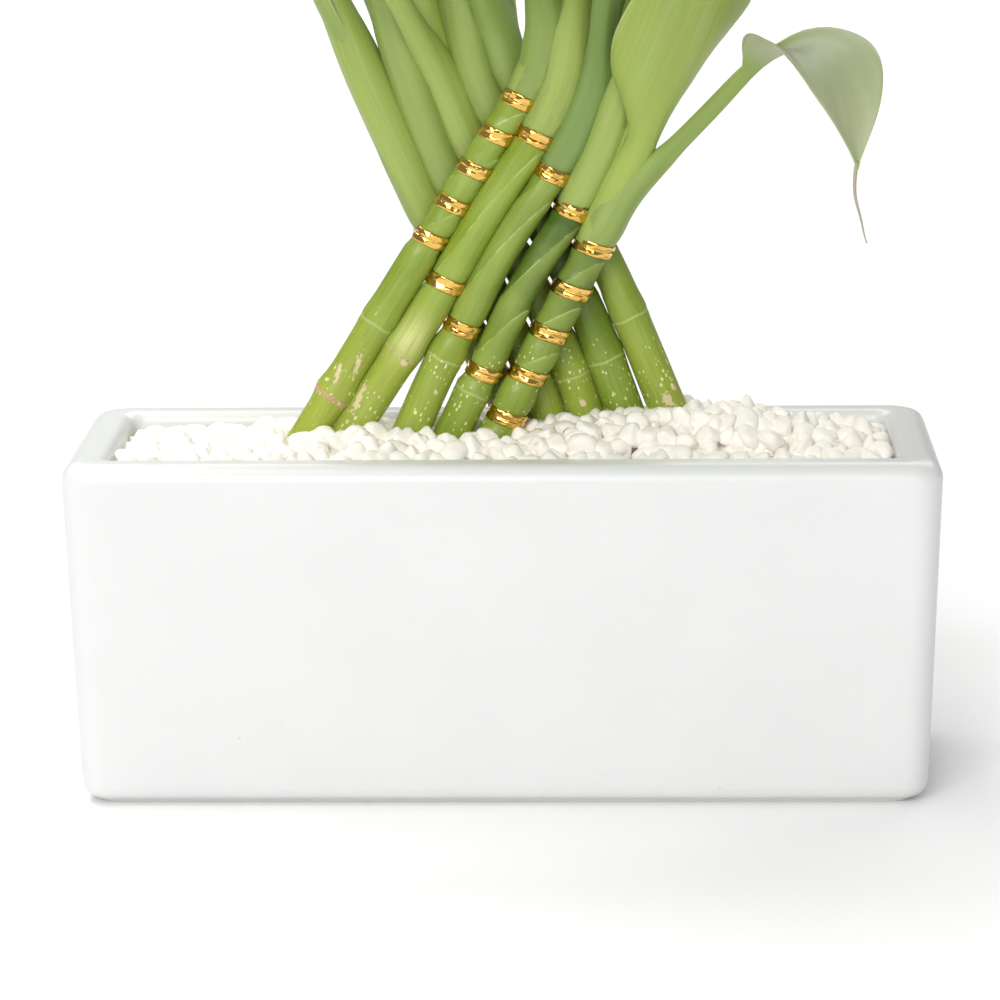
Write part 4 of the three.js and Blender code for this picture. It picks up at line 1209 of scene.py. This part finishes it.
def bamboo_skin(add, settings):
    # The skin of a dracaena cane, as it grew: waxy and smooth, with fibres 0.8 mm apart along it. Its low
    # part is old, yellower and flecked with cream. Sheath edges show as pale lines, their margins with a
    # painted highlight, and the sheath below each is lighter, partly its own tone and partly painted light.
    # Nodes show as pale or corky rings.
    grown, marks, tone, edges = (
        add("Attribute", {"attribute_name": layer}, "Vector") for layer in Piece.LAYERS
    )
    scar_mark, node_gap, age = add("SeparateXYZ", {"Vector": marks}).node.outputs
    tint, pale, cork_mark = add("SeparateXYZ", {"Vector": tone}).node.outputs
    young = add("Mix", {**RGBA, 0: tint, 6: settings.deep_green, 7: settings.light_green}, 2)
    old = add("Mix", {**RGBA, 0: tint, 6: "#829829", 7: settings.old_green}, 2)
    aged = add("Mix", {**RGBA, 0: age, 6: young, 7: old}, 2)
    stretched = add("Mapping", {"Vector": grown, "Scale": (1, 1, 0.06)})
    fibre = add("TexNoise", {"Vector": stretched, "Scale": 1.3, "Detail": 4, "Roughness": 0.65})
    patch = add("TexNoise", {"Vector": grown, "Scale": 0.07, "Detail": 3})
    base = lay_colours(add, aged, (
        (pale, AS_IT_IS, "#d8d98c"),
        (patch, (0.35, 0.7, 0, 0.45), "#a0b356"),
        (fibre, (0.35, 0.75, 0, 0.35), "#41691f"),
    ))
    # The sheath under each edge is lighter, partly its own tone and partly painted light on the step, and
    # its edge is a thin pale line, its pale margin with a painted highlight, broken here and there
    breaks = add("TexNoise", {"Vector": grown, "Scale": 0.25, "Detail": 2})
    kept = add("MapRange", {"Value": breaks, 1: 0.38, 2: 0.55})
    for gap in add("SeparateXYZ", {"Vector": edges}).node.outputs:
        below = add("MapRange", {"Value": gap, 1: -0.1, 2: 0.1, 3: 1, 4: 0})
        # Painted light on the step below the edge, over the sheath's own lighter tone
        sheath_tone_and_painted_light = add("MapRange", {"Value": gap, 1: -9, 2: -0.5, 3: 0, 4: 0.34})
        step = add("Math", {"operation": "MULTIPLY", 0: below, 1: sheath_tone_and_painted_light})
        apart = add("Math", {"operation": "ABSOLUTE", 0: gap})
        # The pale line: the margin's own colour with a painted highlight where the edge catches the light
        pale_margin_and_highlight = add("MapRange", {"Value": apart, 1: 0.08, 2: 0.3, 3: 0.45, 4: 0})
        edge = add("Math", {"operation": "MULTIPLY", 0: pale_margin_and_highlight, 1: kept})
        base = lay_colours(add, base, ((step, AS_IT_IS, "#a6b85c"), (edge, AS_IT_IS, "#c6d78f")))
    # Node rings, healed scars, and cream flecks one or two millimetres long
    wobble = add("TexNoise", {"Vector": grown, "Scale": 0.9, "Detail": 4})
    ring_gap = add("Math", {"operation": "ABSOLUTE", 0: node_gap})
    reach = add("Math", {"operation": "MULTIPLY_ADD", 0: wobble, 1: 2, 2: ring_gap})
    width = add("Math", {"operation": "MULTIPLY", 0: cork_mark, 1: 2.1})
    inside = add("Math", {"operation": "SUBTRACT", 0: width, 1: reach})
    corky = add("MapRange", {"Value": inside, 1: -0.3, 2: 0.25})
    cork_tint = add("TexNoise", {"Vector": grown, "Scale": 2.2, "Detail": 3})
    cork = add("Mix", {**RGBA, 0: cork_tint, 6: "#8d6234", 7: "#e0cb98"}, 2)
    scarred = add("Math", {"operation": "MULTIPLY_ADD", 0: wobble, 1: 0.9, 2: scar_mark})
    scar = add("MapRange", {"Value": scarred, 1: 0.96, 2: 1.06, 3: 0, 4: 0.9})
    speckled = add("Mapping", {"Vector": grown, "Scale": (1, 1, 0.55)})
    cells = add("TexVoronoi", {"Vector": speckled, "Scale": 0.85})
    gather = add("TexNoise", {"Vector": grown, "Scale": 0.16, "Detail": 2})
    crowd = add("MapRange", {"Value": gather, 1: 0.38, 2: 0.58, 3: 0.06, 4: 0.3})
    low = add("MapRange", {"Value": age, 1: 0.35, 2: 0.8})
    size = add("Math", {"operation": "MULTIPLY", 0: crowd, 1: low})
    fleck = add("Math", {"operation": "SUBTRACT", 0: size, 1: cells})
    base = lay_colours(add, base, (
        (ring_gap, (0.1, 0.5, 0.45, 0), "#c3d08c"),
        (corky, AS_IT_IS, cork),
        (scar, AS_IT_IS, "#dcc9a2"),
        (fleck, (0, 0.05, 0, 0.8), "#e9e4a8"),
    ))
    dull = add("Math", {"operation": "MAXIMUM", 0: corky, 1: scar})
    rough = add("MapRange", {"Value": dull, 3: 0.36, 4: 0.75})
    fine = add("Bump", {"Height": fibre, "Strength": 0.4, "Distance": 0.0001})
    coarse = add("Bump", {"Height": dull, "Strength": 0.5, "Distance": 0.0003, "Normal": fine})
    return {
        "Base Color": base, "Roughness": rough, "IOR": 1.45, "Normal": coarse,
        "Subsurface Weight": 0.08, "Subsurface Radius": (0.6, 1, 0.2), "Subsurface Scale": 0.0015,
    }


def leaf_surface(add, settings):
    # A dracaena leaf, as it grew: thin and satin, its parallel veins a third of a millimetre apart drawn at
    # 0.9 mm so that they show, a pale margin, a lighter underside and a dry tip.
    grown, marks, tone = (
        add("Attribute", {"attribute_name": layer}, "Vector") for layer in Piece.LAYERS[:3]
    )
    margin, facing, _ = add("SeparateXYZ", {"Vector": marks}).node.outputs
    light, yellow, withered = add("SeparateXYZ", {"Vector": tone}).node.outputs
    stretched = add("Mapping", {"Vector": grown, "Scale": (1, 1, 0.02)})
    vein = add("TexNoise", {"Vector": stretched, "Scale": 1.1, "Detail": 3, "Roughness": 0.6})
    band = add("TexNoise", {"Vector": stretched, "Scale": 0.16, "Detail": 1})
    # Greens, veins, broad bands, the margin, the underside, a pale bloom and the dry tip
    base = lay_colours(add, settings.leaf_green, (
        (light, AS_IT_IS, "#94a742"),
        (yellow, AS_IT_IS, "#a3b33c"),
        (vein, (0.35, 0.7, 0, 0.3), "#4d7427"),
        (band, (0.4, 0.65, 0, 0.35), "#a9bc66"),
        (margin, (0.2, 0.55, 0.75, 0), "#c8d795"),
        (facing, (-1, 1, 0.22, 0), "#a8bb88"),
        (withered, (-1, 0, 1, 0), "#a6ab8b"),
        (withered, AS_IT_IS, "#a9a08a"),
    ))
    bump = add("Bump", {"Height": vein, "Strength": 0.45, "Distance": 0.00015})
    return {
        "Base Color": base, "Roughness": 0.42, "IOR": 1.42, "Normal": bump,
        "Subsurface Weight": 0.15, "Subsurface Radius": (0.6, 1, 0.2), "Subsurface Scale": 0.001,
    }


def gold_foil(add, settings):
    # Brass-coloured metal foil, rolled thin and crimped by hand: mirror bright, with creases 2.4 mm apart.
    grown = add("Attribute", {"attribute_name": "grown"}, "Vector")
    crease = add("TexVoronoi", {"Vector": grown, "Scale": 0.42})
    tint = add("TexNoise", {"Vector": grown, "Scale": 0.5, "Detail": 3})
    base = add("Mix", {**RGBA, 0: tint, 6: settings.gold, 7: "#dca23c"}, 2)
    rough = add("MapRange", {"Value": tint, 1: 0.3, 2: 0.7, 3: 0.04, 4: 0.11})
    bump = add("Bump", {"Height": crease, "Strength": 0.8, "Distance": 0.0006})
    return {"Base Color": base, "Metallic": 1, "Roughness": rough, "Normal": bump}


def studio_paper(add, settings):
    # Matt white studio paper, rolled out flat: even, and clouded over a third of a metre.
    place = add("TexCoord", {}, "Object")
    cloud = add("TexNoise", {"Vector": place, "Scale": 3, "Detail": 2})
    base = add("Mix", {**RGBA, 0: cloud, 6: settings.paper, 7: "#f4f4f4"}, 2)
    return {"Base Color": base, "Roughness": 0.9}


# Stage

# The camera, fitted to the planter's outline: place in millimetres, turn in degrees, focal length in pixels
CAMERA_PLACE = (30.85, -1051.17, 325.72)
CAMERA_PITCH = 13.339
CAMERA_YAW = 1.752
CAMERA_ROLL = -0.572
CAMERA_FOCAL_PIXELS = 3912.4
PICTURE_PIXELS = 1000
SENSOR = 36.0
CAMERA_SEES = (0.05, 30)
FLOOR_REACH = 12.0
FLOOR_CUTS = 24
# Softboxes in metres: place, the point that it faces, and its width and height
SOFTBOXES = {
    "key": ((-1.25, -3.7, 2.4), (0, 0, 0.12), (2.2, 2.2)),
    "top": ((-0.5, 0.0, 1.6), (0, 0, 0.1), (1.3, 0.8)),
    "fill": ((0.2, -1.9, 0.7), (0, 0, 0.1), (1.2, 0.7)),
    "background": ((0, 4.5, 3.2), (0, 4.8, 0), (7.0, 5.0)),
}


def camera_matrix():
    """The camera's place and turn as one matrix."""
    pitch, yaw, roll = np.radians((CAMERA_PITCH, CAMERA_YAW, CAMERA_ROLL))
    forward = np.array([-np.sin(yaw) * np.cos(pitch), np.cos(yaw) * np.cos(pitch), -np.sin(pitch)])
    right = np.array([np.cos(yaw), np.sin(yaw), 0])
    up = np.cross(right, forward)
    rolled_right = right * np.cos(roll) + up * np.sin(roll)
    rolled_up = -right * np.sin(roll) + up * np.cos(roll)
    matrix = Matrix.Identity(4)
    for k in range(3):
        matrix[k][0], matrix[k][1], matrix[k][2] = rolled_right[k], rolled_up[k], -forward[k]
        matrix[k][3] = CAMERA_PLACE[k] * MM
    return matrix


def soft_light(name, place, aim, size, power):
    """A rectangular softbox that faces a point."""
    data = bpy.data.lights.new(name, "AREA")
    data.shape = "RECTANGLE"
    data.size, data.size_y = size
    data.energy = power
    light = bpy.data.objects.new(name, data)
    light.location = place
    light.rotation_euler = (Vector(aim) - Vector(place)).to_track_quat("-Z", "Y").to_euler()
    bpy.context.scene.collection.objects.link(light)


def build_stage(settings):
    """The camera, the paper floor, the even light of the room and four softboxes."""
    scene = bpy.context.scene
    camera_data = bpy.data.cameras.new("camera")
    camera_data.sensor_width = SENSOR
    camera_data.lens = SENSOR * CAMERA_FOCAL_PIXELS / PICTURE_PIXELS
    camera_data.clip_start, camera_data.clip_end = CAMERA_SEES
    camera = bpy.data.objects.new("camera", camera_data)
    camera.matrix_world = camera_matrix()
    scene.collection.objects.link(camera)
    scene.camera = camera
    mesh = bpy.data.meshes.new("paper_floor")
    shape = bmesh.new()
    bmesh.ops.create_grid(shape, x_segments=FLOOR_CUTS, y_segments=FLOOR_CUTS, size=FLOOR_REACH)
    shape.to_mesh(mesh)
    shape.free()
    mesh.materials.append(new_finish("studio_paper_matt", studio_paper, settings))
    floor = bpy.data.objects.new("paper_floor", mesh)
    scene.collection.objects.link(floor)
    world = bpy.data.worlds.new("studio")
    world.use_nodes = True
    world.node_tree.nodes.clear()
    sky = add_node(world.node_tree, "Background", {"Color": "#ffffff", "Strength": settings.room_light})
    add_node(world.node_tree, "OutputWorld", {"Surface": sky})
    scene.world = world
    for name, (place, aim, size) in SOFTBOXES.items():
        soft_light(f"{name}_softbox", place, aim, size, getattr(settings, f"{name}_power"))
    scene.view_settings.view_transform = "Standard"
    scene.view_settings.look = "None"


# Settings, operators and panel


def length_setting(name, description, default):
    """A length in metres, shown to a tenth of a millimetre."""
    return FloatProperty(
        name=name, description=description, default=default, min=0, precision=4,
        unit="LENGTH", subtype="DISTANCE",
    )


def colour_setting(name, description, hex_colour):
    """A colour, stored linear."""
    return FloatVectorProperty(
        name=name, description=description, default=linear(hex_colour), size=4, min=0, max=1,
        subtype="COLOR",
    )


def power_setting(name, description, default):
    """A light's power in watts."""
    return FloatProperty(name=name, description=description, default=default, min=0, unit="POWER")


class PlanterSettings(bpy.types.PropertyGroup):
    """Sizes and colour of the glazed planter."""
    length: length_setting("Length", "Planter length over its rim", 0.236)
    depth: length_setting("Depth", "Planter depth over its rim", 0.082)
    height: length_setting("Height", "Planter height", 0.095)
    wall: length_setting("Wall", "Wall thickness at the rim", 0.012)
    glaze: colour_setting("Glaze", "Colour of the glaze", "#d9dad9")


class GravelSettings(bpy.types.PropertyGroup):
    """Size and colour of the marble chips."""
    chip_size: length_setting("Chip size", "Middle size of a marble chip", 0.0076)
    seed: IntProperty(name="Seed", description="Which heap of chips is drawn", default=41, min=0)
    marble: colour_setting("Marble", "Colour of the brightest chips", "#f9f4ed")


class BambooSettings(bpy.types.PropertyGroup):
    """Colours of the canes and leaves."""
    deep_green: colour_setting("Deep green", "The darkest canes", "#2d4c13")
    light_green: colour_setting("Light green", "The lightest canes", "#97aa37")
    old_green: colour_setting("Old green", "The old, low parts of the canes", "#b3bb49")
    leaf_green: colour_setting("Leaf green", "The deeper leaves", "#567727")


class TieSettings(bpy.types.PropertyGroup):
    """Sizes and colour of the foil ties."""
    foil_width: length_setting("Width", "Width of the two turns of foil together", 0.004)
    foil_thickness: length_setting("Thickness", "Thickness of the foil", 0.0001)
    gold: colour_setting("Gold", "Colour of the foil", "#f7d27c")


class StudioSettings(bpy.types.PropertyGroup):
    """Floor and lights."""
    paper: colour_setting("Paper", "Colour of the paper floor", "#fafafa")
    room_light: FloatProperty(
        name="Room light", description="Strength of the even light from all round", default=0.26, min=0,
    )
    key_power: power_setting("Key light", "Power of the main soft light, in front on the left", 112)
    top_power: power_setting("Top light", "Power of the soft light overhead", 15)
    fill_power: power_setting("Fill light", "Power of the low soft light in front", 6)
    background_power: power_setting("Background light", "Power of the light on the paper far behind", 260)


class BAMBOO_OT_stage(bpy.types.Operator):
    """Set up the paper floor, the soft lights and the camera"""
    bl_idname = "bamboo.stage"
    bl_label = "Studio Stage"

    def execute(self, context):
        build_stage(context.scene.bamboo_studio)
        return {"FINISHED"}


class BAMBOO_OT_planter(bpy.types.Operator):
    """Make the glazed planter"""
    bl_idname = "bamboo.planter"
    bl_label = "Glazed Planter"

    def execute(self, context):
        settings = context.scene.bamboo_planter
        build_pot(settings, new_finish("stoneware_dipped_white_glaze", glazed_ceramic, settings))
        return {"FINISHED"}


class BAMBOO_OT_gravel(bpy.types.Operator):
    """Fill the planter with marble chips"""
    bl_idname = "bamboo.gravel"
    bl_label = "Marble Chips"

    def execute(self, context):
        settings = context.scene.bamboo_gravel
        marble = new_finish("marble_crushed_and_tumbled", tumbled_marble, settings)
        build_bed(marble)
        for name in CHIP_LAYERS:
            build_chips(name, settings, marble)
        return {"FINISHED"}


class BAMBOO_OT_stalks(bpy.types.Operator):
    """Grow the ten canes with their shoots and leaves"""
    bl_idname = "bamboo.stalks"
    bl_label = "Bamboo Stalks"

    def execute(self, context):
        settings = context.scene.bamboo_plant
        skin = new_finish("dracaena_cane_waxy_skin", bamboo_skin, settings)
        leaf = new_finish("dracaena_leaf_satin", leaf_surface, settings)
        for cane in ALL_CANES:
            build_stalk(cane, [skin, leaf])
        return {"FINISHED"}


class BAMBOO_OT_ties(bpy.types.Operator):
    """Bind the canes with gold foil"""
    bl_idname = "bamboo.ties"
    bl_label = "Gold Ties"

    def execute(self, context):
        settings = context.scene.bamboo_ties
        foil = new_finish("metal_foil_rolled_and_crimped", gold_foil, settings)
        for front, back in tied_pairs():
            build_tie(front, back, settings, foil)
        return {"FINISHED"}


class BAMBOO_PT_sidebar(bpy.types.Panel):
    """The planter's settings and the steps that build it"""
    bl_idname = "BAMBOO_PT_sidebar"
    bl_label = "Lucky Bamboo"
    bl_space_type = "VIEW_3D"
    bl_region_type = "UI"
    bl_category = "Bamboo"

    def draw(self, context):
        for step, (owner, settings) in zip(STEPS, SETTINGS.items()):
            box = self.layout.box()
            box.operator(step.bl_idname)
            group = getattr(context.scene, owner)
            for name in settings.__annotations__:
                box.prop(group, name)


SETTINGS = {
    "bamboo_studio": StudioSettings,
    "bamboo_planter": PlanterSettings,
    "bamboo_gravel": GravelSettings,
    "bamboo_plant": BambooSettings,
    "bamboo_ties": TieSettings,
}
STEPS = (BAMBOO_OT_stage, BAMBOO_OT_planter, BAMBOO_OT_gravel, BAMBOO_OT_stalks, BAMBOO_OT_ties)
CLASSES = (*SETTINGS.values(), *STEPS, BAMBOO_PT_sidebar)


def register():
    """Adds the classes, and each group of settings to the scene."""
    for cls in CLASSES:
        bpy.utils.register_class(cls)
    for owner, settings in SETTINGS.items():
        setattr(bpy.types.Scene, owner, PointerProperty(type=settings))


def unregister():
    """Takes them away again."""
    for owner in SETTINGS:
        delattr(bpy.types.Scene, owner)
    for cls in reversed(CLASSES):
        bpy.utils.unregister_class(cls)


def main():
    """Registers the add-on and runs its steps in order."""
    register()
    bpy.ops.bamboo.stage()
    bpy.ops.bamboo.planter()
    bpy.ops.bamboo.gravel()
    bpy.ops.bamboo.stalks()
    bpy.ops.bamboo.ties()


if __name__ == "__main__":
    main()
